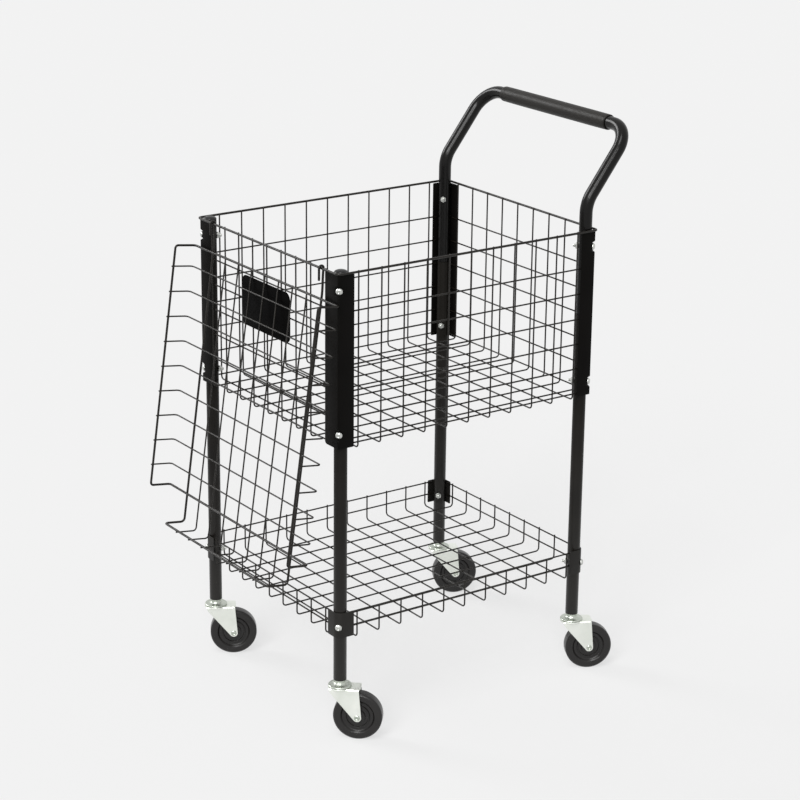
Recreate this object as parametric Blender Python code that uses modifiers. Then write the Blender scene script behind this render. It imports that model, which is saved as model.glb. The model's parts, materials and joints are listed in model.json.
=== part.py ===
"""Ball cart: a wire basket and a wire shelf bolted between four tube legs on swivel
casters, with a bent push handle, a foam grip, a plain sign plate and a hinged wire lid
that hangs down in front of the basket.

Metres, +Z up. X runs across the cart, along the handle's crossbar. Y runs along the
cart: the lid and the sign are at the front, -Y, and the handle is at the rear, +Y.
The origin is on the floor, under the middle of the cart's box.
"""

from math import asin, atan2, cos, hypot, pi, radians, sin, tan

import bmesh
import bpy
from mathutils import Matrix, Quaternion, Vector

# Frame
LEG_SPACING_ACROSS = 0.457
LEG_SPACING_ALONG = 0.558
TUBE_DIAMETER = 0.025
TUBE_WALL = 0.0015
RIM_HEIGHT = 0.912
FIT = 0.0003

# Wires
WIRE_DIAMETER = 0.003
ROD_DIAMETER = 0.0045
WIRE_PITCH = 0.050
WELD_SINK = 0.0005
WIRE_BEND_RADIUS = 0.007
ROD_BEND_RADIUS = 0.008
UPRIGHT_STUB = 0.002

# Basket
BASKET_DEPTH = 0.333
FIRST_RING_DROP = 0.0728
RING_COUNT = 6

# Shelf
SHELF_RIM_HEIGHT = 0.255
SHELF_DEPTH = 0.052
SHELF_RING_DROP = 0.027

# Corner plates and shelf brackets
SHEET_THICKNESS = 0.002
PLATE_FRONT_FLANGE = 0.041
PLATE_SIDE_FLANGE = 0.034
PLATE_RISE = 0.004
PLATE_BEND_RADIUS = 0.004
PRESS_FLAT = 0.0075
PRESS_SLOPE = 0.004
BRACKET_FRONT_FLANGE = 0.034
BRACKET_SIDE_FLANGE = 0.036
BRACKET_HEIGHT = 0.050
BRACKET_RISE = 0.003

# Bolts
BOLT_DIAMETER = 0.006
BOLT_HEAD_DIAMETER = 0.013
BOLT_HEAD_HEIGHT = 0.0042
BOLT_HEAD_EDGE = 0.0014
BOLT_END = 0.005
NUT_WIDTH = 0.011
NUT_HEIGHT = 0.005
BASKET_BOLT_DROP = 0.0325
BASKET_BOLT_RISE = 0.030
SHELF_BOLT_DROP = 0.026

# Handle, measured on the tube's axis from the height of the rim
HANDLE_JOINT_DROP = 0.167
HANDLE_BEND_RISE = 0.052
HANDLE_TOP_RISE = 0.184
HANDLE_SETBACK = 0.102
HANDLE_LOWER_RADIUS = 0.060
HANDLE_UPPER_RADIUS = 0.050
SWAGE_LENGTH = 0.060
GRIP_LENGTH = 0.330
GRIP_DIAMETER = 0.031
GRIP_EDGE = 0.002

# Leg caps
CAP_FLANGE = 0.002
CAP_DOME = 0.005
CAP_PLUG = 0.014

# Sign plate
SIGN_WIDTH = 0.168
SIGN_HEIGHT = 0.097
SIGN_THICKNESS = 0.0015
SIGN_CORNER_RADIUS = 0.015
SIGN_DROP = 0.0735
CLIP_WIDTH = 0.012
CLIP_HEIGHT = 0.008
CLIP_WALL = 0.0015
CLIP_INSET = 0.024

# Lid, measured along it from its hinge on the front rim
LID_RAIL_INSET = 0.010
LID_LENGTH_WIRE_COUNT = 7
LID_CROSS_WIRE_COUNT = 9
LID_HEAD = 0.056
LID_END_GAP = 0.042
LID_FLANGE = 0.044
LID_BEND_RADIUS = 0.006
LID_FAR_CLEARANCE = 0.003
LID_SHANK_TAPER = 0.006
LID_WELD_SINK = 0.001
HOOK_TAIL = 0.023
HOOK_PINCH = 0.003
HOOK_STEPS = 6

# Casters
WHEEL_DIAMETER = 0.094
WHEEL_WIDTH = 0.027
WHEEL_TREAD_EDGE = 0.003
HUB_DIAMETER = 0.042
HUB_RECESS = 0.0015
HUB_STEP = 0.001
WHEEL_DISH_DIAMETER = 0.066
WHEEL_DISH_DEPTH = 0.0034
WHEEL_DISH_SLOPE = 0.007
CASTER_TRAIL = 0.035
WHEEL_HEAD_GAP = 0.0085
WHEEL_SIDE_GAP = 0.0021
FORK_SHEET = 0.0025
CROWN_DIAMETER = 0.045
CROWN_THICKNESS = 0.0045
FORK_FRONT = 0.019
FORK_REAR = 0.038
FORK_END_RADIUS = 0.008
FORK_DROP = 0.006
RACE_DIAMETER = 0.0392
RACE_HEIGHT = 0.002
RACE_HOLE = 0.020
CUP_SKIRT = 0.0019
CUP_ROOF = 0.0013
CUP_EDGE = 0.0014
CUP_DOME = 0.0032
NECK_HEIGHT = 0.0056
NECK_DIAMETER = 0.021
STEM_LENGTH = 0.035
KINGPIN_DIAMETER = 0.009
KINGPIN_HEAD_DIAMETER = 0.015
KINGPIN_HEAD_HEIGHT = 0.003
AXLE_DIAMETER = 0.008
AXLE_HEAD_DIAMETER = 0.011
AXLE_HEAD_HEIGHT = 0.0018
CASTER_TRAIL_ANGLES = {
    "front_left": radians(60),
    "front_right": radians(48),
    "rear_left": radians(66),
    "rear_right": radians(63),
}

# Sides of round pieces and steps of each bend
ROUND_SIDES = 12
WHEEL_SIDES = 20
BOLT_SIDES = 6
ROD_SIDES = 6
WIRE_SIDES = 4
TUBE_BEND_STEPS = 4
ROD_BEND_STEPS = 2
WIRE_BEND_STEPS = 1
SHEET_BEND_STEPS = 4
MERGE = 0.00001
SHADING_MARGIN = radians(3)
THROUGH = 4

# Shares of a radius at which a flat-topped dome and the pressed cup's dome begin, and
# how far up and in the hollow of that dome lies
DOME_TOP = 0.7
CUP_TOP = 0.9
CUP_HOLLOW = 0.4
CUP_HOLLOW_IN = 0.6

# Sizes that follow from the ones above
LEG_X = LEG_SPACING_ACROSS / 2
LEG_Y = LEG_SPACING_ALONG / 2
TUBE_RADIUS = TUBE_DIAMETER / 2
PLUG_RADIUS = TUBE_RADIUS - TUBE_WALL - FIT
WIRE_RADIUS = WIRE_DIAMETER / 2
ROD_RADIUS = ROD_DIAMETER / 2
SHEET_INNER = TUBE_RADIUS + FIT
SHEET_OUTER = SHEET_INNER + SHEET_THICKNESS
RING_OFFSET = SHEET_INNER - FIT - WIRE_RADIUS
UPRIGHT_OFFSET = RING_OFFSET + WIRE_DIAMETER - WELD_SINK
RIM_OFFSET = UPRIGHT_OFFSET + WIRE_RADIUS + ROD_RADIUS - WELD_SINK
BASKET_FLOOR = RIM_HEIGHT - BASKET_DEPTH
SHELF_FLOOR = SHELF_RIM_HEIGHT - SHELF_DEPTH
PLATE_TOP = RIM_HEIGHT - ROD_RADIUS - FIT
PLATE_BOTTOM = BASKET_FLOOR + PLATE_RISE
BRACKET_TOP = SHELF_RIM_HEIGHT + BRACKET_RISE
FRONT_LEG_TOP = PLATE_TOP - FIT
RIM_Y = LEG_Y + RIM_OFFSET
BASKET_BOLT_HEIGHTS = (RIM_HEIGHT - BASKET_BOLT_DROP, BASKET_FLOOR + BASKET_BOLT_RISE)
SHELF_BOLT_HEIGHT = SHELF_RIM_HEIGHT - SHELF_BOLT_DROP
HANDLE_JOINT_HEIGHT = RIM_HEIGHT - HANDLE_JOINT_DROP
HANDLE_BEND_HEIGHT = RIM_HEIGHT + HANDLE_BEND_RISE
HANDLE_TOP_HEIGHT = RIM_HEIGHT + HANDLE_TOP_RISE
WHEEL_RADIUS = WHEEL_DIAMETER / 2
CROWN_BOTTOM = WHEEL_DIAMETER + WHEEL_HEAD_GAP
CROWN_TOP = CROWN_BOTTOM + FORK_SHEET
CROWN_DISC_BOTTOM = CROWN_TOP - CROWN_THICKNESS
RACE_TOP = CROWN_TOP + FIT + RACE_HEIGHT
CUP_BOTTOM = CROWN_TOP + FIT
CUP_ROOF_BOTTOM = RACE_TOP + FIT
CUP_DOME_BOTTOM = CUP_ROOF_BOTTOM + CUP_ROOF
LEG_END_HEIGHT = CUP_DOME_BOTTOM + CUP_DOME + NECK_HEIGHT + FIT
FORK_INNER = WHEEL_WIDTH / 2 + WHEEL_SIDE_GAP
FORK_OUTER = FORK_INNER + FORK_SHEET

# Lid levels: how far each layer of wires lies inside the plane of the hinge.
# The frame's sides bend down just far enough past the rim to clear it when the lid is shut.
LID_LOOP_LEVEL = -(ROD_RADIUS + FIT + ROD_RADIUS)
LID_RAIL_LEVEL = LID_LOOP_LEVEL - ROD_DIAMETER + LID_WELD_SINK
LID_LENGTH_WIRE_LEVEL = LID_LOOP_LEVEL - ROD_RADIUS - WIRE_RADIUS + LID_WELD_SINK
LID_CROSS_WIRE_LEVEL = LID_LENGTH_WIRE_LEVEL + WIRE_DIAMETER - WELD_SINK
HOOK_RADIUS = 2 * ROD_RADIUS + FIT
LID_BEND_START = LEG_X + RIM_OFFSET + (ROD_DIAMETER + FIT) * tan(pi / 8 / ROD_BEND_STEPS)
LID_SIDE_X = LID_BEND_START + max(LID_BEND_RADIUS, ROD_DIAMETER)
LID_LEG_X = LID_SIDE_X + ROD_RADIUS + WIRE_RADIUS - WELD_SINK
LID_FOOT = LID_HEAD + 2 * LID_END_GAP + (LID_CROSS_WIRE_COUNT - 1) * WIRE_PITCH
LID_REACH = 2 * RIM_Y + ROD_DIAMETER + LID_FAR_CLEARANCE

CORNERS = {
    "front_left": (-1, -1),
    "front_right": (1, -1),
    "rear_left": (-1, 1),
    "rear_right": (1, 1),
}


def clear_scene():
    for thing in list(bpy.data.objects):
        bpy.data.objects.remove(thing, do_unlink=True)


def new_collection(name):
    collection = bpy.data.collections.new(name)
    bpy.context.scene.collection.children.link(collection)
    return collection


def new_material(name, colour, roughness, metallic=0.0):
    material = bpy.data.materials.new(name)
    material.use_nodes = True
    shader = material.node_tree.nodes["Principled BSDF"]
    shader.inputs["Base Color"].default_value = (*colour, 1.0)
    shader.inputs["Roughness"].default_value = roughness
    shader.inputs["Metallic"].default_value = metallic
    return material


clear_scene()
PARTS = new_collection("ball_cart")
CUTTERS = new_collection("cutters")
BLACK_PAINT = new_material("black_paint", (0.012, 0.012, 0.013), 0.35)
ZINC = new_material("zinc", (0.72, 0.75, 0.73), 0.32, 1.0)
FOAM = new_material("foam", (0.020, 0.019, 0.018), 0.9)
RUBBER = new_material("wheel_rubber", (0.018, 0.018, 0.019), 0.55)
BLACK_PLASTIC = new_material("black_plastic", (0.014, 0.014, 0.015), 0.45)


# Placing and joining


def new_object(name, mesh, material, parent=None, cutter=False):
    """A named object on a parent; a cutter only shapes other objects."""
    thing = bpy.data.objects.new(name, mesh)
    (CUTTERS if cutter else PARTS).objects.link(thing)
    thing.parent = parent
    if cutter:
        thing.hide_render = True
        thing.display_type = "WIRE"
    else:
        mesh.materials.clear()
        mesh.materials.append(material)
    return thing


def new_empty(name, place, parent=None, turn=(0, 0, 0)):
    empty = bpy.data.objects.new(name, None)
    PARTS.objects.link(empty)
    empty.parent = parent
    empty.location = place
    empty.rotation_euler = turn
    return empty


def add_boolean(thing, other, operation):
    modifier = thing.modifiers.new(other.name, "BOOLEAN")
    modifier.operation = operation
    modifier.object = other


def shade_round(mesh, sides):
    """Smooth shading round a piece with this many sides, with its sharper edges kept."""
    mesh.shade_smooth()
    mesh.set_sharp_from_angle(angle=2 * pi / sides + SHADING_MARGIN)


# Shapes


def hole_radius(radius, sides):
    """The corner radius of a many-sided hole whose flats clear a round piece."""
    return (radius + FIT) / cos(pi / sides)


def rounded_path(corners, radius, steps, closed=False):
    """The corner points, with each bend turned into an arc."""
    corners = [Vector(corner) for corner in corners]
    last = len(corners) - 1
    path = []
    for index, corner in enumerate(corners):
        if not closed and index in (0, last):
            path.append(corner)
            continue
        before = (corners[index - 1] - corner).normalized()
        after = (corners[(index + 1) % len(corners)] - corner).normalized()
        half = before.angle(after) / 2
        centre = corner + (before + after).normalized() * radius / sin(half)
        spoke = corner + before * radius / tan(half) - centre
        axis = before.cross(after)
        sweep = 2 * half - pi
        for step in range(steps + 1):
            path.append(centre + Quaternion(axis, sweep * step / steps) @ spoke)
    return path


def mesh_from(data):
    """The mesh of a curve, with its loose caps and seams welded; the curve is removed."""
    guide = bpy.data.objects.new(data.name, data)
    bpy.context.scene.collection.objects.link(guide)
    evaluated = guide.evaluated_get(bpy.context.evaluated_depsgraph_get())
    mesh = bpy.data.meshes.new_from_object(evaluated)
    bpy.data.objects.remove(guide)
    bpy.data.curves.remove(data)
    form = bmesh.new()
    form.from_mesh(mesh)
    bmesh.ops.remove_doubles(form, verts=form.verts, dist=MERGE)
    bmesh.ops.recalc_face_normals(form, faces=form.faces)
    form.to_mesh(mesh)
    form.free()
    return mesh


def mesh_along(name, paths, diameter, sides, closed=False, caps=True, radii=None):
    """One mesh of round bars, one along each path."""
    curve = bpy.data.curves.new(name, "CURVE")
    curve.dimensions = "3D"
    curve.bevel_depth = diameter / 2
    curve.bevel_resolution = (sides - 4) // 2
    curve.use_fill_caps = caps
    for path in paths:
        spline = curve.splines.new("POLY")
        spline.points.add(len(path) - 1)
        spline.use_cyclic_u = closed
        for index, place in enumerate(path):
            spline.points[index].co = (*place, 1)
            spline.points[index].radius = radii[index] if radii else 1
    mesh = mesh_from(curve)
    shade_round(mesh, sides)
    return mesh


def cylinder_mesh(name, radius, length, sides):
    """A cylinder about Z, centred on the origin, with an edge towards +X."""
    form = bmesh.new()
    matrix = Matrix.Rotation(pi / 2, 4, "Z")
    bmesh.ops.create_cone(form, cap_ends=True, segments=sides, radius1=radius, radius2=radius,
                          depth=length, matrix=matrix)
    mesh = bpy.data.meshes.new(name)
    form.to_mesh(mesh)
    form.free()
    shade_round(mesh, sides)
    return mesh


def add_turned(name, profile, sides, material, parent, closed=False):
    """A profile of (radius, height) points turned about Z, top to bottom outside."""
    mesh = bpy.data.meshes.new(name)
    count = len(profile)
    edges = [(index, index + 1) for index in range(count - 1)]
    if closed:
        edges.append((count - 1, 0))
    mesh.from_pydata([(radius, 0, height) for radius, height in profile], edges, [])
    thing = new_object(name, mesh, material, parent)
    screw = thing.modifiers.new("turned", "SCREW")
    screw.steps = sides
    screw.render_steps = sides
    screw.use_merge_vertices = True
    screw.merge_threshold = MERGE
    return thing


def add_plate(name, outline, thickness, material, parent=None, cutter=False):
    """A flat outline in XY, extruded to each side of Z = 0."""
    curve = bpy.data.curves.new(name, "CURVE")
    curve.dimensions = "2D"
    curve.fill_mode = "BOTH"
    curve.extrude = thickness / 2
    spline = curve.splines.new("POLY")
    spline.points.add(len(outline) - 1)
    spline.use_cyclic_u = True
    for point, place in zip(spline.points, outline):
        point.co = (place[0], place[1], 0, 1)
    mesh = mesh_from(curve)
    shade_round(mesh, ROUND_SIDES)
    return new_object(name, mesh, material, parent, cutter)


def arc(centre, radius, start, end, steps):
    """Points along an arc, angles in radians."""
    angles = [start + (end - start) * step / steps for step in range(steps + 1)]
    return [(centre[0] + radius * cos(a), centre[1] + radius * sin(a)) for a in angles]


# Wire basket and shelf


def wire_places(room):
    """Wire places on either side of the middle, a pitch apart, inside the room."""
    count = int((room - WIRE_RADIUS - FIT) / WIRE_PITCH)
    return [WIRE_PITCH * index for index in range(-count, count + 1)]


def front_wire_places():
    """The front uprights of the basket, between the corner plates."""
    return wire_places(LEG_X + SHEET_OUTER - PLATE_FRONT_FLANGE)


def bent_wires(places, wall, top, floor, across):
    """U-shaped wires: down one wall, along the floor and up the opposite wall."""
    paths = []
    for place in places:
        corners = [(-wall, top), (-wall, floor), (wall, floor), (wall, top)]
        if across:
            corners = [(x, place, z) for x, z in corners]
        else:
            corners = [(place, y, z) for y, z in corners]
        paths.append(rounded_path(corners, WIRE_BEND_RADIUS, WIRE_BEND_STEPS))
    return paths


def ring_wires(heights, end_x, end_y):
    """Four straight wires at each height, one inside each wall."""
    wall_x = LEG_X + RING_OFFSET
    wall_y = LEG_Y + RING_OFFSET
    paths = []
    for height in heights:
        for side in (-1, 1):
            paths.append([(-end_x, side * wall_y, height), (end_x, side * wall_y, height)])
            paths.append([(side * wall_x, -end_y, height), (side * wall_x, end_y, height)])
    return paths


def add_wire_tray(name, top, floor, ring_heights, front_flange, side_flange, parent, rim=None):
    """Bent wires both ways, ring wires inside them and, on the basket, a rim outside."""
    room_x = LEG_X + SHEET_OUTER - front_flange
    room_y = LEG_Y + SHEET_OUTER - side_flange
    wall_x = LEG_X + UPRIGHT_OFFSET
    wall_y = LEG_Y + UPRIGHT_OFFSET
    upper_floor = floor + WIRE_DIAMETER - WELD_SINK
    across = bent_wires(wire_places(room_y), wall_x, top, floor, True)
    along = bent_wires(wire_places(room_x), wall_y, top, upper_floor, False)
    end_x = LEG_X - TUBE_RADIUS
    end_y = LEG_Y - TUBE_RADIUS
    rings = ring_wires(ring_heights, end_x, end_y)
    tray = new_object(name, mesh_along(name, across, WIRE_DIAMETER, WIRE_SIDES), BLACK_PAINT, parent)
    groups = {"along": mesh_along(name, along, WIRE_DIAMETER, WIRE_SIDES),
              "rings": mesh_along(name, rings, WIRE_DIAMETER, WIRE_SIDES)}
    if rim is not None:
        rim_x = LEG_X + RIM_OFFSET
        rim_y = LEG_Y + RIM_OFFSET
        corners = [(-rim_x, -rim_y, rim), (rim_x, -rim_y, rim), (rim_x, rim_y, rim), (-rim_x, rim_y, rim)]
        path = rounded_path(corners, ROD_BEND_RADIUS, ROD_BEND_STEPS, closed=True)
        groups["rim"] = mesh_along(name, [path], ROD_DIAMETER, ROD_SIDES, closed=True)
    for group, mesh in groups.items():
        add_boolean(tray, new_object(name + "_" + group, mesh, None, parent, cutter=True), "UNION")
    return tray


def add_basket(parent):
    heights = [RIM_HEIGHT - FIRST_RING_DROP - WIRE_PITCH * index for index in range(RING_COUNT)]
    add_wire_tray("basket", RIM_HEIGHT + UPRIGHT_STUB, BASKET_FLOOR, heights,
                  PLATE_FRONT_FLANGE, PLATE_SIDE_FLANGE, parent, rim=RIM_HEIGHT)


def add_shelf(parent):
    heights = [SHELF_RIM_HEIGHT, SHELF_RIM_HEIGHT - SHELF_RING_DROP]
    add_wire_tray("shelf", SHELF_RIM_HEIGHT + UPRIGHT_STUB, SHELF_FLOOR, heights,
                  BRACKET_FRONT_FLANGE, BRACKET_SIDE_FLANGE, parent)


# Legs, corner plates and bolts


def corner_empty(name, parent):
    """An empty on a leg's axis."""
    side_x, side_y = CORNERS[name]
    return new_empty("corner_" + name, (side_x * LEG_X, side_y * LEG_Y, 0), parent)


def diagonal(name):
    """The horizontal direction out of the cart through a leg, as an angle about Z."""
    side_x, side_y = CORNERS[name]
    return atan2(side_y, side_x)


def add_hole(thing, name, radius, length, place, turn=(0, 0, 0)):
    """A drilled hole; place and turn are in the frame of the object's parent."""
    mesh = cylinder_mesh(name, radius, length, BOLT_SIDES)
    hole = new_object(name, mesh, None, thing.parent, cutter=True)
    hole.location = place
    hole.rotation_euler = turn
    add_boolean(thing, hole, "DIFFERENCE")


def add_bolt_holes(thing, corner, heights, axis=(0, 0)):
    """Holes for the bolts of a corner, along its diagonal and through the leg's axis."""
    for index, height in enumerate(heights):
        add_hole(thing, f"{thing.name}_hole_{corner}_{index}", BOLT_DIAMETER / 2 + FIT,
                 THROUGH * TUBE_DIAMETER, (*axis, height), (0, pi / 2, diagonal(corner)))


def add_tube(name, bottom, top, parent):
    """A straight tube about Z, open at both ends."""
    bore = hole_radius(PLUG_RADIUS, ROUND_SIDES)
    profile = [(bore, top), (TUBE_RADIUS, top), (TUBE_RADIUS, bottom), (bore, bottom)]
    return add_turned(name, profile, ROUND_SIDES, BLACK_PAINT, parent, closed=True)


def corner_outline(corner, front_flange, side_flange, bend=SHEET_OUTER):
    """An L section, whose bend hugs the tube if not tighter; the front flange runs along X."""
    side_x, side_y = CORNERS[corner]
    end_x = SHEET_OUTER - front_flange
    end_y = SHEET_OUTER - side_flange
    middle = (SHEET_OUTER - bend, SHEET_OUTER - bend)
    outer = arc(middle, bend, 0, pi / 2, SHEET_BEND_STEPS)
    inner = arc(middle, bend - SHEET_THICKNESS, pi / 2, 0, SHEET_BEND_STEPS)
    points = [(SHEET_OUTER, end_y), *outer, (end_x, SHEET_OUTER), (end_x, SHEET_INNER), *inner,
              (SHEET_INNER, end_y)]
    points = [(side_x * x, side_y * y) for x, y in points]
    return points if side_x == side_y else points[::-1]


def add_bracket(name, corner, parent):
    outline = corner_outline(corner, BRACKET_FRONT_FLANGE, BRACKET_SIDE_FLANGE)
    bracket = add_plate(name, outline, BRACKET_HEIGHT, BLACK_PAINT, parent)
    bracket.data.transform(Matrix.Translation((0, 0, BRACKET_TOP - BRACKET_HEIGHT / 2)))
    add_bolt_holes(bracket, corner, (SHELF_BOLT_HEIGHT,))


def add_corner_plate(name, corner, parent):
    """A folded plate with a tight bend, pressed back against the tube round each bolt."""
    tight = corner_outline(corner, PLATE_FRONT_FLANGE, PLATE_SIDE_FLANGE, PLATE_BEND_RADIUS)
    pressed = corner_outline(corner, PLATE_FRONT_FLANGE, PLATE_SIDE_FLANGE)
    levels = [(PLATE_BOTTOM, tight)]
    for bolt in sorted(BASKET_BOLT_HEIGHTS):
        levels += [(bolt - PRESS_FLAT - PRESS_SLOPE, tight), (bolt - PRESS_FLAT, pressed),
                   (bolt + PRESS_FLAT, pressed), (bolt + PRESS_FLAT + PRESS_SLOPE, tight)]
    levels.append((PLATE_TOP, tight))
    form = bmesh.new()
    rows = [[form.verts.new((x, y, height)) for x, y in outline] for height, outline in levels]
    form.faces.new(rows[0])
    form.faces.new(rows[-1])
    sloping = []
    for step in range(1, len(levels)):
        for index, corner_point in enumerate(rows[step]):
            face = form.faces.new((rows[step - 1][index - 1], rows[step - 1][index], corner_point,
                                   rows[step][index - 1]))
            if levels[step][1] is not levels[step - 1][1]:
                sloping.append(face)
    bmesh.ops.triangulate(form, faces=sloping)
    bmesh.ops.recalc_face_normals(form, faces=form.faces)
    mesh = bpy.data.meshes.new(name)
    form.to_mesh(mesh)
    form.free()
    shade_round(mesh, ROUND_SIDES)
    add_bolt_holes(new_object(name, mesh, BLACK_PAINT, parent), corner, BASKET_BOLT_HEIGHTS)


def bolt_profile():
    """A bolt through a leg's axis, Z outwards: head outside, nut and thread end inside."""
    head = SHEET_OUTER + FIT
    nut = TUBE_RADIUS + FIT
    head_radius = BOLT_HEAD_DIAMETER / 2
    shank = BOLT_DIAMETER / 2
    top = head + BOLT_HEAD_HEIGHT
    nut_radius = NUT_WIDTH / 2 / cos(pi / 6)
    return [(0, top), (head_radius * DOME_TOP, top), (head_radius, head + BOLT_HEAD_EDGE),
            (head_radius, head), (shank, head), (shank, -nut), (nut_radius, -nut),
            (nut_radius, -nut - NUT_HEIGHT), (shank, -nut - NUT_HEIGHT),
            (shank, -nut - NUT_HEIGHT - BOLT_END), (0, -nut - NUT_HEIGHT - BOLT_END)]


def add_bolt(name, corner, height, parent):
    bolt = add_turned(name, bolt_profile(), BOLT_SIDES, ZINC, parent)
    bolt.location = (0, 0, height)
    bolt.rotation_euler = (0, pi / 2, diagonal(corner))


def add_front_leg(corner, parent):
    leg = add_tube("leg_" + corner, LEG_END_HEIGHT, FRONT_LEG_TOP, parent)
    add_bolt_holes(leg, corner, (*BASKET_BOLT_HEIGHTS, SHELF_BOLT_HEIGHT))
    base = FRONT_LEG_TOP + FIT
    rim = base + CAP_FLANGE
    profile = [(0, rim + CAP_DOME), (TUBE_RADIUS * DOME_TOP, rim + CAP_DOME * DOME_TOP), (TUBE_RADIUS, rim),
               (TUBE_RADIUS, base), (PLUG_RADIUS, base), (PLUG_RADIUS, base - CAP_PLUG),
               (0, base - CAP_PLUG)]
    add_turned("leg_cap_" + corner, profile, ROUND_SIDES, BLACK_PLASTIC, parent)


def add_rear_leg(corner, parent):
    leg = add_tube("leg_" + corner, LEG_END_HEIGHT, HANDLE_JOINT_HEIGHT, parent)
    add_bolt_holes(leg, corner, (BASKET_BOLT_HEIGHTS[1], SHELF_BOLT_HEIGHT))


def add_corner(corner, frame):
    empty = corner_empty(corner, frame)
    if corner.startswith("front"):
        add_front_leg(corner, empty)
    else:
        add_rear_leg(corner, empty)
    add_corner_plate("corner_plate_" + corner, corner, empty)
    add_bracket("shelf_bracket_" + corner, corner, empty)
    add_bolt("upper_basket_bolt_" + corner, corner, BASKET_BOLT_HEIGHTS[0], empty)
    add_bolt("lower_basket_bolt_" + corner, corner, BASKET_BOLT_HEIGHTS[1], empty)
    add_bolt("shelf_bolt_" + corner, corner, SHELF_BOLT_HEIGHT, empty)
    add_caster(corner, empty)


# Handle


def handle_path():
    """The tube's axis from one swaged end over the crossbar to the other."""
    joint = HANDLE_JOINT_HEIGHT + FIT
    top_y = LEG_Y + HANDLE_SETBACK
    side = [(-LEG_X, LEG_Y, joint), (-LEG_X, LEG_Y, HANDLE_BEND_HEIGHT), (-LEG_X, top_y, HANDLE_TOP_HEIGHT)]
    lower = rounded_path(side, HANDLE_LOWER_RADIUS, TUBE_BEND_STEPS // 2)[:-1]
    other = [(-x, y, z) for x, y, z in side[::-1]]
    upper = rounded_path(side[1:] + other[:-1], HANDLE_UPPER_RADIUS, TUBE_BEND_STEPS)[1:-1]
    return lower + upper + [Vector((-point.x, point.y, point.z)) for point in lower[::-1]]


def add_handle(frame):
    """A bent tube whose narrowed ends plug into the rear legs."""
    path = handle_path()
    swage = PLUG_RADIUS / TUBE_RADIUS
    low = Vector((0, 0, SWAGE_LENGTH))
    step = Vector((0, 0, FIT))
    ends = [path[0] - low, path[0] - step / 2]
    path = ends + path + [Vector((-point.x, point.y, point.z)) for point in ends[::-1]]
    radii = [swage, swage] + [1] * (len(path) - 4) + [swage, swage]
    mesh = mesh_along("handle", [path], TUBE_DIAMETER, ROUND_SIDES, caps=False, radii=radii)
    handle = new_object("handle", mesh, BLACK_PAINT, frame)
    shell = handle.modifiers.new("wall", "SOLIDIFY")
    shell.thickness = TUBE_WALL
    shell.offset = -1
    for corner in ("rear_left", "rear_right"):
        side_x, side_y = CORNERS[corner]
        add_bolt_holes(handle, corner, BASKET_BOLT_HEIGHTS[:1], (side_x * LEG_X, side_y * LEG_Y))


def add_grip(frame):
    """A foam sleeve on the crossbar, between the handle's upper bends."""
    outer = GRIP_DIAMETER / 2
    bore = hole_radius(TUBE_RADIUS, ROUND_SIDES)
    half = GRIP_LENGTH / 2
    profile = [(bore, half), (outer - GRIP_EDGE, half), (outer, half - GRIP_EDGE),
               (outer, GRIP_EDGE - half), (outer - GRIP_EDGE, -half), (bore, -half)]
    grip = add_turned("handle_grip", profile, ROUND_SIDES, FOAM, frame, closed=True)
    grip.location = (0, LEG_Y + HANDLE_SETBACK, HANDLE_TOP_HEIGHT)
    grip.rotation_euler = (0, pi / 2, 0)


# Sign plate


def sign_front():
    """How far the sign's front face stands in front of the front legs' axes."""
    return UPRIGHT_OFFSET + WIRE_RADIUS + FIT + SIGN_THICKNESS


def add_sign(frame):
    """A rounded plate on the front wires, held by four clips round two uprights."""
    half_x = SIGN_WIDTH / 2 - SIGN_CORNER_RADIUS
    half_z = SIGN_HEIGHT / 2 - SIGN_CORNER_RADIUS
    outline = []
    corners = ((half_x, half_z), (-half_x, half_z), (-half_x, -half_z), (half_x, -half_z))
    for index, (x, z) in enumerate(corners):
        start = index * pi / 2
        outline += arc((x, z), SIGN_CORNER_RADIUS, start, start + pi / 2, SHEET_BEND_STEPS)
    middle = RIM_HEIGHT - SIGN_DROP - SIGN_HEIGHT / 2
    sign = add_plate("sign_plate", outline, SIGN_THICKNESS, BLACK_PLASTIC, frame)
    sign.location = (0, -LEG_Y - sign_front() + SIGN_THICKNESS / 2, middle)
    sign.rotation_euler = (pi / 2, 0, 0)
    back = -LEG_Y - sign_front() + SIGN_THICKNESS + FIT
    depth = WIRE_DIAMETER + 2 * FIT + CLIP_WALL
    half = CLIP_WIDTH / 2
    slot = WIRE_RADIUS + FIT
    shape = [(-half, 0), (-slot, 0), (-slot, depth - CLIP_WALL), (slot, depth - CLIP_WALL), (slot, 0),
             (half, 0), (half, depth), (-half, depth)]
    for column, x in (("left", -WIRE_PITCH), ("right", WIRE_PITCH)):
        for row, z in (("upper", CLIP_INSET), ("lower", -CLIP_INSET)):
            clip = add_plate(f"sign_clip_{row}_{column}", shape, CLIP_HEIGHT, BLACK_PLASTIC, frame)
            clip.location = (x, back, middle + z)


# Lid


def lid_rest_angle():
    """How far the hanging lid leans out before its wires meet the uprights or the sign."""
    behind = WIRE_RADIUS - LID_LENGTH_WIRE_LEVEL
    uprights = UPRIGHT_OFFSET + WIRE_RADIUS - RIM_OFFSET
    wire_end = LID_HEAD - UPRIGHT_STUB
    on_uprights = atan2(behind, wire_end) + asin((uprights + FIT) / hypot(behind, wire_end))
    sign = sign_front() - RIM_OFFSET
    on_sign = atan2(sign, SIGN_DROP) + asin((behind + FIT) / hypot(sign, SIGN_DROP))
    return max(on_uprights, on_sign)


def lid_rail_x():
    """The rails stand just inside the outermost front uprights."""
    return front_wire_places()[-1] - LID_RAIL_INSET


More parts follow.
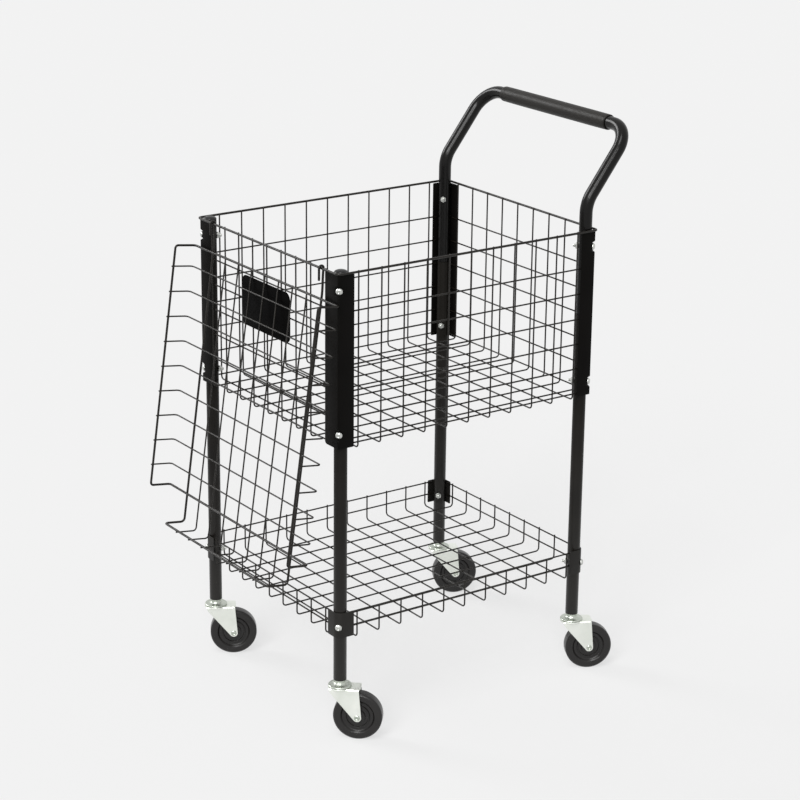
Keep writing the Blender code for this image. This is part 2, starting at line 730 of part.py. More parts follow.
def rail_path(side):
    """The start of a rail, from the hook's tail round the rim to its straight run."""
    x = side * lid_rail_x()
    hook = [(x, HOOK_RADIUS - HOOK_PINCH, HOOK_TAIL)]
    for index in range(HOOK_STEPS + 1):
        angle = pi * index / HOOK_STEPS
        hook.append((x, HOOK_RADIUS * cos(angle), -HOOK_RADIUS * sin(angle)))
    shank = [(x, LID_RAIL_LEVEL, LID_HEAD - LID_SHANK_TAPER)]
    return [Vector(point) for point in hook + shank]


def lid_rail_loop():
    """Both rails, bent out at the foot and joined by the foot bar."""
    left = rail_path(-1)
    right = rail_path(1)
    x = lid_rail_x()
    corners = [left[-1], (-x, LID_RAIL_LEVEL, LID_REACH), (-x, LID_RAIL_LEVEL + LID_FLANGE, LID_REACH),
               (x, LID_RAIL_LEVEL + LID_FLANGE, LID_REACH), (x, LID_RAIL_LEVEL, LID_REACH), right[-1]]
    return left[:-1] + rounded_path(corners, ROD_BEND_RADIUS, ROD_BEND_STEPS) + right[:-1][::-1]


def lid_frame_loop():
    """The wide closed loop, whose sides are bent out and joined by side bars."""
    inner = LID_LOOP_LEVEL
    outer = LID_LOOP_LEVEL + LID_FLANGE
    x = LID_SIDE_X
    corners = [(-x, inner, LID_HEAD), (x, inner, LID_HEAD), (x, outer, LID_HEAD), (x, outer, LID_FOOT),
               (x, inner, LID_FOOT), (-x, inner, LID_FOOT), (-x, outer, LID_FOOT), (-x, outer, LID_HEAD)]
    return rounded_path(corners, LID_BEND_RADIUS, ROD_BEND_STEPS, closed=True)


def lid_cross_wires():
    paths = []
    outer = LID_LOOP_LEVEL + LID_FLANGE + ROD_RADIUS
    for index in range(LID_CROSS_WIRE_COUNT):
        reach = LID_HEAD + LID_END_GAP + WIRE_PITCH * index
        corners = [(-LID_LEG_X, outer, reach), (-LID_LEG_X, LID_CROSS_WIRE_LEVEL, reach),
                   (LID_LEG_X, LID_CROSS_WIRE_LEVEL, reach), (LID_LEG_X, outer, reach)]
        paths.append(rounded_path(corners, WIRE_BEND_RADIUS, WIRE_BEND_STEPS))
    return paths


def lid_length_wires():
    paths = []
    pitch = 2 * lid_rail_x() / (LID_LENGTH_WIRE_COUNT + 1)
    foot = LID_REACH + ROD_RADIUS + WIRE_RADIUS - WELD_SINK
    outer = LID_RAIL_LEVEL + LID_FLANGE + ROD_RADIUS
    for index in range(1, LID_LENGTH_WIRE_COUNT + 1):
        x = pitch * index - lid_rail_x()
        corners = [(x, LID_LENGTH_WIRE_LEVEL, LID_HEAD - UPRIGHT_STUB), (x, LID_LENGTH_WIRE_LEVEL, foot),
                   (x, outer, foot)]
        paths.append(rounded_path(corners, WIRE_BEND_RADIUS, WIRE_BEND_STEPS))
    return paths


def add_lid(frame):
    """Modelled along +Z from its hinge, then turned to hang from the front rim."""
    lean = lid_rest_angle()
    hinge = new_empty("lid_hinge", (0, -RIM_Y, RIM_HEIGHT), frame, (pi - lean, 0, 0))
    rails = mesh_along("lid", [lid_rail_loop()], ROD_DIAMETER, ROD_SIDES)
    lid = new_object("lid", rails, BLACK_PAINT, hinge)
    groups = {"frame": mesh_along("lid", [lid_frame_loop()], ROD_DIAMETER, ROD_SIDES, closed=True),
              "cross_wires": mesh_along("lid", lid_cross_wires(), WIRE_DIAMETER, WIRE_SIDES),
              "length_wires": mesh_along("lid", lid_length_wires(), WIRE_DIAMETER, WIRE_SIDES)}
    for group, mesh in groups.items():
        add_boolean(lid, new_object("lid_" + group, mesh, None, hinge, cutter=True), "UNION")


# Casters


def add_neck(name, parent):
    """The fixed half: a stem in the leg, a neck, a cup over the race and the kingpin."""
    neck = NECK_DIAMETER / 2
    skirt = hole_radius(RACE_DIAMETER / 2, ROUND_SIDES)
    cup = skirt + CUP_SKIRT
    pin = KINGPIN_DIAMETER / 2
    pin_head = KINGPIN_HEAD_DIAMETER / 2
    shoulder = LEG_END_HEIGHT - FIT
    hollow = cup * CUP_TOP - (cup * CUP_TOP - neck) * CUP_HOLLOW_IN
    head_top = CROWN_DISC_BOTTOM - FIT
    stem_top = LEG_END_HEIGHT + STEM_LENGTH
    profile = [(0, stem_top), (PLUG_RADIUS, stem_top), (PLUG_RADIUS, shoulder), (neck, shoulder),
               (neck, CUP_DOME_BOTTOM + CUP_DOME), (hollow, CUP_DOME_BOTTOM + CUP_DOME * CUP_HOLLOW),
               (cup * CUP_TOP, CUP_DOME_BOTTOM), (cup, CUP_DOME_BOTTOM - CUP_EDGE), (cup, CUP_BOTTOM),
               (skirt, CUP_BOTTOM), (skirt, CUP_ROOF_BOTTOM), (pin, CUP_ROOF_BOTTOM), (pin, head_top),
               (pin_head, head_top), (pin_head, head_top - KINGPIN_HEAD_HEIGHT),
               (0, head_top - KINGPIN_HEAD_HEIGHT)]
    add_turned("caster_neck_" + name, profile, ROUND_SIDES, ZINC, parent)


def add_race(name, pivot):
    """The lower ball race, a ring that turns with the fork inside the cup."""
    profile = [(RACE_HOLE / 2, RACE_TOP), (RACE_DIAMETER / 2, RACE_TOP),
               (RACE_DIAMETER / 2, RACE_TOP - RACE_HEIGHT), (RACE_HOLE / 2, RACE_TOP - RACE_HEIGHT)]
    add_turned("swivel_race_" + name, profile, ROUND_SIDES, ZINC, pivot, closed=True)


def fork_side_outline():
    """The fork seen from the side, X along the trail: a crown over a tapering leg."""
    tip = arc((CASTER_TRAIL, WHEEL_RADIUS), FORK_END_RADIUS, radians(-150), radians(10), SHEET_BEND_STEPS)
    return [(FORK_REAR, CROWN_TOP), (-FORK_FRONT, CROWN_TOP), (-FORK_FRONT, CROWN_TOP - FORK_DROP), *tip]


def add_fork(name, pivot):
    """A sheet bent down at both sides under a round crown, drilled for pin and axle."""
    outline = fork_side_outline()
    fork = add_plate("caster_fork_" + name, outline, 2 * FORK_OUTER, ZINC, pivot)
    fork.data.transform(Matrix.Rotation(pi / 2, 4, "X"))
    front = -FORK_FRONT - WHEEL_RADIUS
    rear = FORK_REAR + WHEEL_RADIUS
    gap = [(rear, CROWN_BOTTOM), (front, CROWN_BOTTOM), (front, 0), (rear, 0)]
    inside = add_plate("fork_gap_" + name, gap, 2 * FORK_INNER, None, pivot, cutter=True)
    inside.data.transform(Matrix.Rotation(pi / 2, 4, "X"))
    add_boolean(fork, inside, "DIFFERENCE")
    crown = cylinder_mesh("fork_crown", CROWN_DIAMETER / 2, CROWN_THICKNESS, ROUND_SIDES)
    crown = new_object("fork_crown_" + name, crown, None, pivot, cutter=True)
    crown.location = (0, 0, CROWN_TOP - CROWN_THICKNESS / 2)
    add_boolean(fork, crown, "UNION")
    add_hole(fork, "fork_pin_hole_" + name, hole_radius(KINGPIN_DIAMETER / 2, BOLT_SIDES),
             THROUGH * CROWN_THICKNESS, (0, 0, CROWN_TOP))
    add_hole(fork, "fork_axle_hole_" + name, AXLE_DIAMETER / 2 + FIT, THROUGH * FORK_OUTER,
             (CASTER_TRAIL, 0, WHEEL_RADIUS), (pi / 2, 0, 0))


def add_axle(name, axle):
    radius = AXLE_DIAMETER / 2
    head = AXLE_HEAD_DIAMETER / 2
    seat = FORK_OUTER + FIT
    end = seat + AXLE_HEAD_HEIGHT
    profile = [(0, end), (head * DOME_TOP, end), (head, seat), (radius, seat), (radius, -seat),
               (head, -seat), (head * DOME_TOP, -end), (0, -end)]
    add_turned("wheel_axle_" + name, profile, BOLT_SIDES, ZINC, axle)


def wheel_profile():
    """The wheel's section: tread, rounded edges, a dish with sloping sides and a hub."""
    half = WHEEL_WIDTH / 2
    dish = WHEEL_DISH_DIAMETER / 2
    hub = HUB_DIAMETER / 2
    bore = hole_radius(AXLE_DIAMETER / 2, WHEEL_SIDES)
    face = half - WHEEL_DISH_DEPTH
    side = [(bore, half), (hub, half - HUB_RECESS), (hub + HUB_STEP, face), (dish - WHEEL_DISH_SLOPE, face),
            (dish, half - HUB_RECESS / 2), (WHEEL_RADIUS - WHEEL_TREAD_EDGE, half - HUB_RECESS / 2),
            (WHEEL_RADIUS, half - WHEEL_TREAD_EDGE)]
    return side + [(radius, -height) for radius, height in side[::-1]]


def add_wheel(name, axle):
    add_turned("wheel_" + name, wheel_profile(), WHEEL_SIDES, RUBBER, axle, closed=True)


def add_caster(name, corner):
    """A swivel caster: the neck stays with the leg, the rest turns about the pivot."""
    add_neck(name, corner)
    pivot = new_empty("pivot_" + name, (0, 0, 0), corner, (0, 0, CASTER_TRAIL_ANGLES[name]))
    add_race(name, pivot)
    add_fork(name, pivot)
    axle = new_empty("axle_" + name, (CASTER_TRAIL, 0, WHEEL_RADIUS), pivot, (pi / 2, 0, 0))
    add_axle(name, axle)
    add_wheel(name, axle)


# The whole cart


def centre_over_origin(frame):
    """Moves the cart so that the middle of its box is over the origin."""
    bpy.context.view_layer.update()
    depsgraph = bpy.context.evaluated_depsgraph_get()
    lows = Vector((1e9, 1e9, 1e9))
    highs = -lows
    for thing in PARTS.objects:
        if thing.type != "MESH":
            continue
        solid = thing.evaluated_get(depsgraph)
        for vertex in solid.data.vertices:
            place = solid.matrix_world @ vertex.co
            lows = Vector(map(min, lows, place))
            highs = Vector(map(max, highs, place))
    middle = (lows + highs) / 2
    frame.location -= Vector((middle.x, middle.y, 0))
    bpy.context.view_layer.update()


def main():
    frame = new_empty("cart_frame", (0, 0, 0))
    for corner in CORNERS:
        add_corner(corner, frame)
    add_basket(frame)
    add_shelf(frame)
    add_handle(frame)
    add_grip(frame)
    add_sign(frame)
    add_lid(frame)
    centre_over_origin(frame)


main()
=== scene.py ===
"""Visual model of a ball cart: a wire basket and a wire shelf between four tube legs on
swivel casters, with a push handle, a foam grip, a plain sign plate and a hinged wire lid.

Metres, +Z up. X runs across the cart, Y along it: the lid and the sign are at the front,
-Y, and the handle is at the rear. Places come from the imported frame, shapes from the
sizes below.
"""

import json
from math import acos, atan2, cos, pi, radians, sin, sqrt, tan

import bmesh
import bpy
from mathutils import Matrix, Quaternion, Vector


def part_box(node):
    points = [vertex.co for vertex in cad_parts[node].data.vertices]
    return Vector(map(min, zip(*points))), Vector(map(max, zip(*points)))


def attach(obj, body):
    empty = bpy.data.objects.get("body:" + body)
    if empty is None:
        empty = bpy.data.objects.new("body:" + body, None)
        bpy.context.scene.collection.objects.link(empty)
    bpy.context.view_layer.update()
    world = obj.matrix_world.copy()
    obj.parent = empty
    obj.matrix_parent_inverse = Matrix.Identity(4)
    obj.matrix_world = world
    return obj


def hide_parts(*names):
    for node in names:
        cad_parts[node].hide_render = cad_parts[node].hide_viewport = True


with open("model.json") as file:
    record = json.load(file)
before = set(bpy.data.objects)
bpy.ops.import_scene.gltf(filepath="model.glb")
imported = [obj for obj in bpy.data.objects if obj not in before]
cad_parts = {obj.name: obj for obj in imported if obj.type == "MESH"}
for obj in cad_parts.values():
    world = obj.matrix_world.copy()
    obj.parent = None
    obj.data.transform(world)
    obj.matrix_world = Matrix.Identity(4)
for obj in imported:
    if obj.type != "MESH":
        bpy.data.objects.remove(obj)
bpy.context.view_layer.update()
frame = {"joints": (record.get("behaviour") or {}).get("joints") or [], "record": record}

# Tubes and wires
TUBE_RADIUS = 0.0125
TUBE_WALL = 0.0015
WIRE_RADIUS = 0.0015
ROD_RADIUS = 0.00225
WIRE_PITCH = 0.050
WELD_SINK = 0.0005
BEAD_RADIUS = 0.00168
WIRE_BEND_RADIUS = 0.007
ROD_BEND_RADIUS = 0.008
UPRIGHT_STUB = 0.002
FIT = 0.0003

# Basket and shelf
BASKET_DEPTH = 0.333
FIRST_RING_DROP = 0.0728
RING_COUNT = 6
SHELF_DEPTH = 0.052
SHELF_RING_DROP = 0.027

# Corner plates and shelf brackets
SHEET_THICKNESS = 0.002
PLATE_FRONT_FLANGE = 0.041
PLATE_SIDE_FLANGE = 0.034
BRACKET_FRONT_FLANGE = 0.034
BRACKET_SIDE_FLANGE = 0.036
SHEET_CORNER = 0.0022
PLATE_BEND_RADIUS = 0.004
PRESS_FLAT = 0.0075
PRESS_SLOPE = 0.004

# Bolts
BOLT_RADIUS = 0.003
BOLT_HEAD_RADIUS = 0.0065
BOLT_END = 0.005
BOLT_POINT = 0.0004
NUT_FLAT = 0.0055
NUT_HEIGHT = 0.005
NUT_BEVEL = 0.0004
NUT_FACE_SHARE = 0.96
NUT_BACK_SHARE = 0.94
THREAD_PITCH = 0.001
THREAD_DEPTH = 0.0004
THREAD_CREST = 0.3
THREAD_ROOT = 0.8

# Handle, heights from the rim
HANDLE_BEND_RISE = 0.052
HANDLE_TOP_RISE = 0.184
HANDLE_SETBACK = 0.102
HANDLE_LOWER_RADIUS = 0.060
HANDLE_UPPER_RADIUS = 0.050
SWAGE_LENGTH = 0.060
HANDLE_GROOVE = 0.0006
HANDLE_GROOVE_REACH = 0.0018
GRIP_RADIUS = 0.0155
GRIP_ROUNDING = 0.003
GRIP_TAPER = 0.018
GRIP_TAPER_POWER = 6
GRIP_END_SHARE = 0.97
GRIP_END_ROUNDING = 0.0018
GRIP_BORE_ROUNDING = 0.0003

# Leg caps
CAP_FLANGE = 0.002
CAP_DOME = 0.005
CAP_PLUG = 0.014

# Sign plate
SIGN_CORNER_RADIUS = 0.015
CLIP_WALL = 0.0015

# Lid, measured along it from its hinge on the front rim
LID_RAIL_INSET = 0.010
LID_LENGTH_WIRE_COUNT = 7
LID_CROSS_WIRE_COUNT = 9
LID_HEAD = 0.056
LID_END_GAP = 0.042
LID_FLANGE = 0.044
LID_BEND_RADIUS = 0.006
LID_FAR_CLEARANCE = 0.003
LID_SHANK_TAPER = 0.006
LID_WELD_SINK = 0.001
LID_CLOSED_TURN = 270
HOOK_TAIL = 0.023
HOOK_PINCH = 0.003

# Casters
WHEEL_RADIUS = 0.047
WHEEL_HALF_WIDTH = 0.0135
WHEEL_SIDE_GAP = 0.0021
WHEEL_HEAD_GAP = 0.0085
FORK_SHEET = 0.0025
FORK_FRONT = 0.019
FORK_REAR = 0.038
FORK_TAB = 0.0402
FORK_TAB_ROUNDING = 0.006
FORK_END_RADIUS = 0.008
FORK_DROP = 0.006
FORK_BEND_RADIUS = 0.0036
CROWN_RADIUS = 0.0225
CROWN_THICKNESS = 0.0045
CROWN_LIFT = 0.00005
CROWN_HOLE_REACH = 0.012
RACE_HEIGHT = 0.002
RACE_RADIUS = 0.0196
RACE_HOLE_RADIUS = 0.010
CUP_BORE = 0.0204
CUP_RADIUS = 0.0225
CUP_ROOF = 0.0013
CUP_GAP = 0.0005
NECK_RADIUS = 0.0105
STEM_LENGTH = 0.035
KINGPIN_RADIUS = 0.0045
KINGPIN_HEAD_RADIUS = 0.0075
KINGPIN_HEAD_HEIGHT = 0.003
KINGPIN_FOOT_SHARE = 0.9
AXLE_RADIUS = 0.004
AXLE_HEAD_RADIUS = 0.0055

# Sides of round pieces and steps of their bends
WIRE_SIDES = 10
ROD_SIDES = 14
TUBE_SIDES = 40
GRIP_SIDES = 80
BOLT_SIDES = 36
CASTER_SIDES = 64
WHEEL_SIDES = 96
WIRE_BEND_STEPS = 6
ROD_BEND_STEPS = 8
TUBE_BEND_STEPS = 14
SHEET_BEND_STEPS = 10
BEAD_STEPS = 4
PRESS_STEPS = 6
GRIP_STEPS = 24
HOOK_STEPS = 18
SHANK_STEPS = 6
CAP_ANGLES = (80, 68, 56, 44, 32, 20, 8)
FORK_TIP_ANGLES = (80, 70, 60, 50, 40, 30, 15, 0)
FORK_LEG_STEPS = 10
FORK_BEND_STEPS = 6
FORK_COLUMNS = 12
CROWN_STEPS = 16

# Softening of edges and ends
EDGE = 0.0004
EDGE_SEGMENTS = 2
CORNER_SEGMENTS = 5
FORK_EDGE = 0.0005
FORK_EDGE_SEGMENTS = 3
BEVEL_ANGLE = radians(40)
FORK_BEVEL_ANGLE = radians(60)
SHADING_ANGLE = radians(42)
BAR_END_SHARE = 0.45
TINY = 0.000001

# Camera: yaw, pitch and roll in radians, place from the middle of the legs, lens in millimetres
CAMERA_TURNS = (0.959, 0.325, 0.011)
CAMERA_PLACE = (3.5918, -2.5077, 2.0320)
CAMERA_LENS = 105.97
CAMERA_SENSOR = 36

# Floor and light; each sun has a compass angle, a height and a width in degrees, and a strength
BACKGROUND_COLOUR = 0.89
FLOOR_COLOUR = 0.73
FLOOR_SHADOW_SHARE = 0.30
FLOOR_REACH = 60
WORLD_LIGHT = 0.32
SUNS = (
    ("overhead_light", -60, 68, 24, 1.0),
    ("left_strip", -62, 38, 20, 1.4),
    ("right_strip", -36, 30, 20, 1.0),
    ("side_strip", -150, 26, 22, 1.2),
)

# Clouds and grain of every material
CLOUD_RANGE = (0.3, 0.7)
CLOUD_DETAIL = 4.0
GRAIN_DETAIL = 2.0
GRAIN_STRENGTH = 0.6

# Places from the frame
CORNERS = {
    "front_left": (-1, -1),
    "front_right": (1, -1),
    "rear_left": (-1, 1),
    "rear_right": (1, 1),
}
BODY_OF = {node: body for body, nodes in frame["record"]["behaviour"]["bodies"].items() for node in nodes}
JOINTS = {joint["name"]: joint for joint in frame["joints"]}


def middle_of(node):
    low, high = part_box(node)
    return (low + high) / 2


LEG_AXES = {corner: middle_of("leg_" + corner) for corner in CORNERS}
CENTRE = sum((Vector((axis.x, axis.y, 0)) for axis in LEG_AXES.values()), Vector()) / len(CORNERS)
LEG_X = (LEG_AXES["front_right"].x - LEG_AXES["front_left"].x) / 2
LEG_Y = (LEG_AXES["rear_left"].y - LEG_AXES["front_left"].y) / 2
HINGE = Vector(JOINTS["lid_hinge"]["pos_m"])
RIM_HEIGHT = HINGE.z
LID_LEAN = radians(LID_CLOSED_TURN - JOINTS["lid_hinge"]["range_deg"][1])

# Sizes that follow
SHEET_INNER = TUBE_RADIUS + FIT
SHEET_OUTER = SHEET_INNER + SHEET_THICKNESS
RING_OFFSET = SHEET_INNER - FIT - WIRE_RADIUS
UPRIGHT_OFFSET = RING_OFFSET + 2 * WIRE_RADIUS - WELD_SINK
RIM_OFFSET = UPRIGHT_OFFSET + WIRE_RADIUS + ROD_RADIUS - WELD_SINK
PLUG_RADIUS = TUBE_RADIUS - TUBE_WALL - FIT
BASKET_FLOOR = RIM_HEIGHT - BASKET_DEPTH
SHELF_RIM_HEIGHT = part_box("shelf")[1].z - UPRIGHT_STUB
SHELF_FLOOR = SHELF_RIM_HEIGHT - SHELF_DEPTH
FORK_INNER = WHEEL_HALF_WIDTH + WHEEL_SIDE_GAP
FORK_OUTER = FORK_INNER + FORK_SHEET
CROWN_BOTTOM = 2 * WHEEL_RADIUS + WHEEL_HEAD_GAP
CROWN_TOP = CROWN_BOTTOM + FORK_SHEET
CROWN_DISC_BOTTOM = CROWN_TOP - CROWN_THICKNESS
CUP_BOTTOM = CROWN_TOP + FIT
CUP_ROOF_BOTTOM = CUP_BOTTOM + RACE_HEIGHT + FIT
CUP_TOP = CUP_ROOF_BOTTOM + CUP_ROOF
HOOK_RADIUS = 2 * ROD_RADIUS + FIT
LID_LOOP_LEVEL = -HOOK_RADIUS
LID_RAIL_LEVEL = LID_LOOP_LEVEL - 2 * ROD_RADIUS + LID_WELD_SINK
LID_LENGTH_WIRE_LEVEL = LID_LOOP_LEVEL - ROD_RADIUS - WIRE_RADIUS + LID_WELD_SINK
LID_CROSS_WIRE_LEVEL = LID_LENGTH_WIRE_LEVEL + 2 * WIRE_RADIUS - WELD_SINK
LID_SIDE_X = LEG_X + RIM_OFFSET + HOOK_RADIUS * tan(pi / 16) + LID_BEND_RADIUS
LID_LEG_X = LID_SIDE_X + ROD_RADIUS + WIRE_RADIUS - WELD_SINK
LID_FOOT = LID_HEAD + 2 * LID_END_GAP + (LID_CROSS_WIRE_COUNT - 1) * WIRE_PITCH
LID_REACH = 2 * (LEG_Y + RIM_OFFSET) + 2 * ROD_RADIUS + LID_FAR_CLEARANCE

# Turned profiles: the radius, height and rounding of each corner

# A bolt's head above its seat, and a leg cap's skirt and plug about its joint with the leg
BOLT_HEAD = (
    (0, 0.00178, 0), (0.0024, 0.0020, 0.0003), (0.00252, 0.0037, 0.0003), (0.00312, 0.0042, 0.0003),
    (BOLT_HEAD_RADIUS * 0.66, 0.0039, 0.0009), (BOLT_HEAD_RADIUS * 0.95, 0.0018, 0.0008),
    (BOLT_HEAD_RADIUS, 0.0008, 0.0004), (BOLT_HEAD_RADIUS, 0, 0.0002), (BOLT_RADIUS, 0, 0),
)
CAP_SKIRT = (
    (TUBE_RADIUS * 0.995, CAP_FLANGE + 0.0006, 0), (TUBE_RADIUS, CAP_FLANGE, 0.0003),
    (TUBE_RADIUS, 0, 0.0003), (PLUG_RADIUS, 0, 0), (PLUG_RADIUS, -CAP_PLUG, 0.001), (0, -CAP_PLUG, 0),
)
# The dome and rolled rim of a caster's cup, above and below the cup's top
CUP_DOME = (
    (NECK_RADIUS, 0.0038, 0.0009), (CUP_RADIUS * 0.525, 0.0020, 0.0011),
    (CUP_RADIUS * 0.645, 0.0004, 0.0014), (CUP_RADIUS * 0.80, -0.0007, 0.0010),
    (CUP_RADIUS * 0.90, 0, 0.0009), (CUP_RADIUS, -0.0014, 0.0009),
)
# An axle's head above its seat, and a wheel's face, inwards from half the wheel's width
AXLE_HEAD = (
    (0, 0.0007, 0), (AXLE_HEAD_RADIUS * 0.42, 0.0008, 0.0005), (AXLE_HEAD_RADIUS * 0.56, 0.0018, 0.0005),
    (AXLE_HEAD_RADIUS * 0.78, 0.0017, 0.0008), (AXLE_HEAD_RADIUS, 0.0003, 0.0002),
    (AXLE_HEAD_RADIUS, 0, 0), (AXLE_RADIUS, 0, 0),
)
WHEEL_FACE = (
    (AXLE_RADIUS + FIT, -0.0002, 0.0003), (0.0098, -0.0002, 0.0004), (0.0104, -0.0012, 0.0004),
    (0.0144, -0.0012, 0.0004), (0.0150, -0.0046, 0.0004), (0.0206, -0.0048, 0.0004),
    (0.0212, -0.0018, 0.0004), (0.0230, -0.0018, 0.0004), (0.0236, -0.0054, 0.0004),
    (0.0296, -0.0056, 0.0014), (0.0332, -0.0008, 0.0008), (0.0434, -0.0008, 0.0009),
    (WHEEL_RADIUS, -0.0036, 0.0016),
)


# Materials


def add_node(owner, kind, **inputs):
    """A shader node of a material or the world; each input is a value or another node's output."""
    node = owner.node_tree.nodes.new(kind)
    for name, value in inputs.items():
        socket = node.inputs[name.replace("_", " ")]
        if isinstance(value, bpy.types.NodeSocket):
            owner.node_tree.links.new(value, socket)
        else:
            socket.default_value = value
    return node


def mix_colours(owner, share, first, second):
    """The mix of two colours by the share of the second."""
    mix = owner.node_tree.nodes.new("ShaderNodeMix")
    mix.data_type = "RGBA"
    owner.node_tree.links.new(share, mix.inputs["Factor"])
    ends = [socket for socket in mix.inputs if socket.type == "RGBA"]
    for socket, colour in zip(ends, (first, second)):
        socket.default_value = colour
    return next(socket for socket in mix.outputs if socket.type == "RGBA")


def blend_between(material, factor, low, high, first, second):
    """A colour or a number that goes from first to second as the factor goes from low to high."""
    ramp = add_node(material, "ShaderNodeMapRange", Value=factor, From_Min=low, From_Max=high)
    share = ramp.outputs["Result"]
    if isinstance(first, tuple):
        return mix_colours(material, share, (*first, 1), (*second, 1))
    ramp.inputs["To Min"].default_value = first
    ramp.inputs["To Max"].default_value = second
    return share


def new_surface(name, colours, roughness, cloud, grain, specular=0.5, depth=0.0, metallic=0.0):
    """A material with broad clouds of colour and roughness and a fine grain in its relief.

    colours and roughness are pairs; cloud and grain are sizes in metres; depth is how
    deep the grain is.
    """
    material = bpy.data.materials.new(name)
    material.use_nodes = True
    links = material.node_tree.links
    shader = material.node_tree.nodes["Principled BSDF"]
    place = add_node(material, "ShaderNodeTexCoord").outputs["Object"]
    clouds = add_node(material, "ShaderNodeTexNoise", Vector=place, Scale=1 / cloud, Detail=CLOUD_DETAIL)
    grains = add_node(material, "ShaderNodeTexNoise", Vector=place, Scale=1 / grain, Detail=GRAIN_DETAIL)
    bump = add_node(material, "ShaderNodeBump", Height=grains.outputs["Fac"], Distance=depth,
                    Strength=GRAIN_STRENGTH)
    for socket, ends in (("Base Color", colours), ("Roughness", roughness)):
        varied = blend_between(material, clouds.outputs["Fac"], *CLOUD_RANGE, *ends)
        links.new(varied, shader.inputs[socket])
    links.new(bump.outputs["Normal"], shader.inputs["Normal"])
    shader.inputs["Metallic"].default_value = metallic
    shader.inputs["Specular IOR Level"].default_value = specular
    return material


def paint_sheen_by_height(material, low, high, near, far):
    """Paints a sheen into a coat that fades from near, at a low height, to far, at a high one: a painted
    reflection, stronger low down.
    """
    place = add_node(material, "ShaderNodeTexCoord").outputs["Object"]
    height = add_node(material, "ShaderNodeSeparateXYZ", Vector=place).outputs["Z"]
    shader = material.node_tree.nodes["Principled BSDF"]
    sheen = blend_between(material, height, low, high, near, far)
    material.node_tree.links.new(sheen, shader.inputs["Specular IOR Level"])


LEG_COAT = new_surface(
    "black_leg_coat", ((0.0070, 0.0062, 0.0052), (0.0100, 0.0088, 0.0074)),
    roughness=(0.28, 0.38), specular=0.2, cloud=0.060, grain=0.0011, depth=0.00003)
# The legs get a painted reflection of the floor: more sheen near the floor, less higher up.
paint_sheen_by_height(LEG_COAT, low=0.15, high=0.60, near=0.34, far=0.08)
# The handle's coat is glossier than the legs'; its darker colour and weaker sheen are painted shade.
HANDLE_COAT_PAINTED_SHADE = new_surface(
    "black_handle_coat_painted_shade", ((0.0024, 0.0022, 0.0020), (0.0032, 0.0029, 0.0026)),
    roughness=(0.20, 0.24), specular=0.20, cloud=0.080, grain=0.0100)
WIRE_COAT = new_surface(
    "black_wire_coat", ((0.0064, 0.0052, 0.0039), (0.0090, 0.0074, 0.0056)),
    roughness=(0.30, 0.38), specular=0.26, cloud=0.040, grain=0.0009)
# A darker copy of the black coat for the corner plates: their near-black colour and faint sheen are
# painted shade.
PLATE_COAT_PAINTED_SHADE = new_surface(
    "black_coat_painted_shade", ((0.0024, 0.0021, 0.0018), (0.0036, 0.0032, 0.0028)),
    roughness=(0.42, 0.52), specular=0.045, cloud=0.050, grain=0.0010, depth=0.00003)
# A lighter copy of the black coat for the shelf brackets: their lighter colour and stronger sheen are
# painted light.
BRACKET_COAT_PAINTED_LIGHT = new_surface(
    "black_coat_painted_light", ((0.0095, 0.0088, 0.0078), (0.0130, 0.0121, 0.0108)),
    roughness=(0.40, 0.50), specular=0.20, cloud=0.050, grain=0.0010, depth=0.00003)
ZINC = new_surface(
    "zinc_plate", ((0.77, 0.80, 0.74), (0.84, 0.86, 0.81)),
    roughness=(0.40, 0.48), cloud=0.030, grain=0.0200, metallic=1.0)
# A darker copy of the zinc plate for the casters' cups, races and rivets: the darker colour is painted
# shade.
ZINC_PAINTED_SHADE = new_surface(
    "zinc_plate_painted_shade", ((0.46, 0.50, 0.44), (0.58, 0.61, 0.55)),
    roughness=(0.30, 0.38), cloud=0.020, grain=0.0200, metallic=1.0)
# A darker copy of the zinc plate for the bolts: the darker colour is painted shade.
BOLT_ZINC_PAINTED_SHADE = new_surface(
    "bright_zinc_plate_painted_shade", ((0.50, 0.51, 0.49), (0.62, 0.63, 0.60)),
    roughness=(0.30, 0.36), cloud=0.010, grain=0.0100, metallic=1.0)
RUBBER = new_surface(
    "hard_black_rubber", ((0.0085, 0.0077, 0.0074), (0.0115, 0.0105, 0.0100)),
    roughness=(0.26, 0.32), specular=0.38, cloud=0.020, grain=0.0012, depth=0.00001)
FOAM = new_surface(
    "closed_cell_foam", ((0.0088, 0.0078, 0.0066), (0.0128, 0.0115, 0.0099)),
    roughness=(0.42, 0.50), specular=0.20, cloud=0.012, grain=0.0007, depth=0.00006)
PLASTIC = new_surface(
    "moulded_black_plastic", ((0.0055, 0.0052, 0.0052), (0.0078, 0.0074, 0.0074)),
    roughness=(0.28, 0.36), specular=0.30, cloud=0.015, grain=0.0006, depth=0.00001)
SIGN = new_surface(
    "satin_black_sheet", ((0.0008, 0.0007, 0.0007), (0.0012, 0.0011, 0.0011)),
    roughness=(0.40, 0.50), specular=0.018, cloud=0.040, grain=0.0008, depth=0.00001)


# Shapes


def eased(share):
    """A share from 0 to 1 that starts and ends slowly."""
    return share * share * (3 - 2 * share)


def raised(profile, level):
    """A profile moved up to a level."""
    return [(radius, level + height, rounding) for radius, height, rounding in profile]


def mirrored(profile):
    """A profile from the middle outwards on one side, and back on the other side."""
    return [*profile, *((radius, -height, rounding) for radius, height, rounding in profile[::-1])]


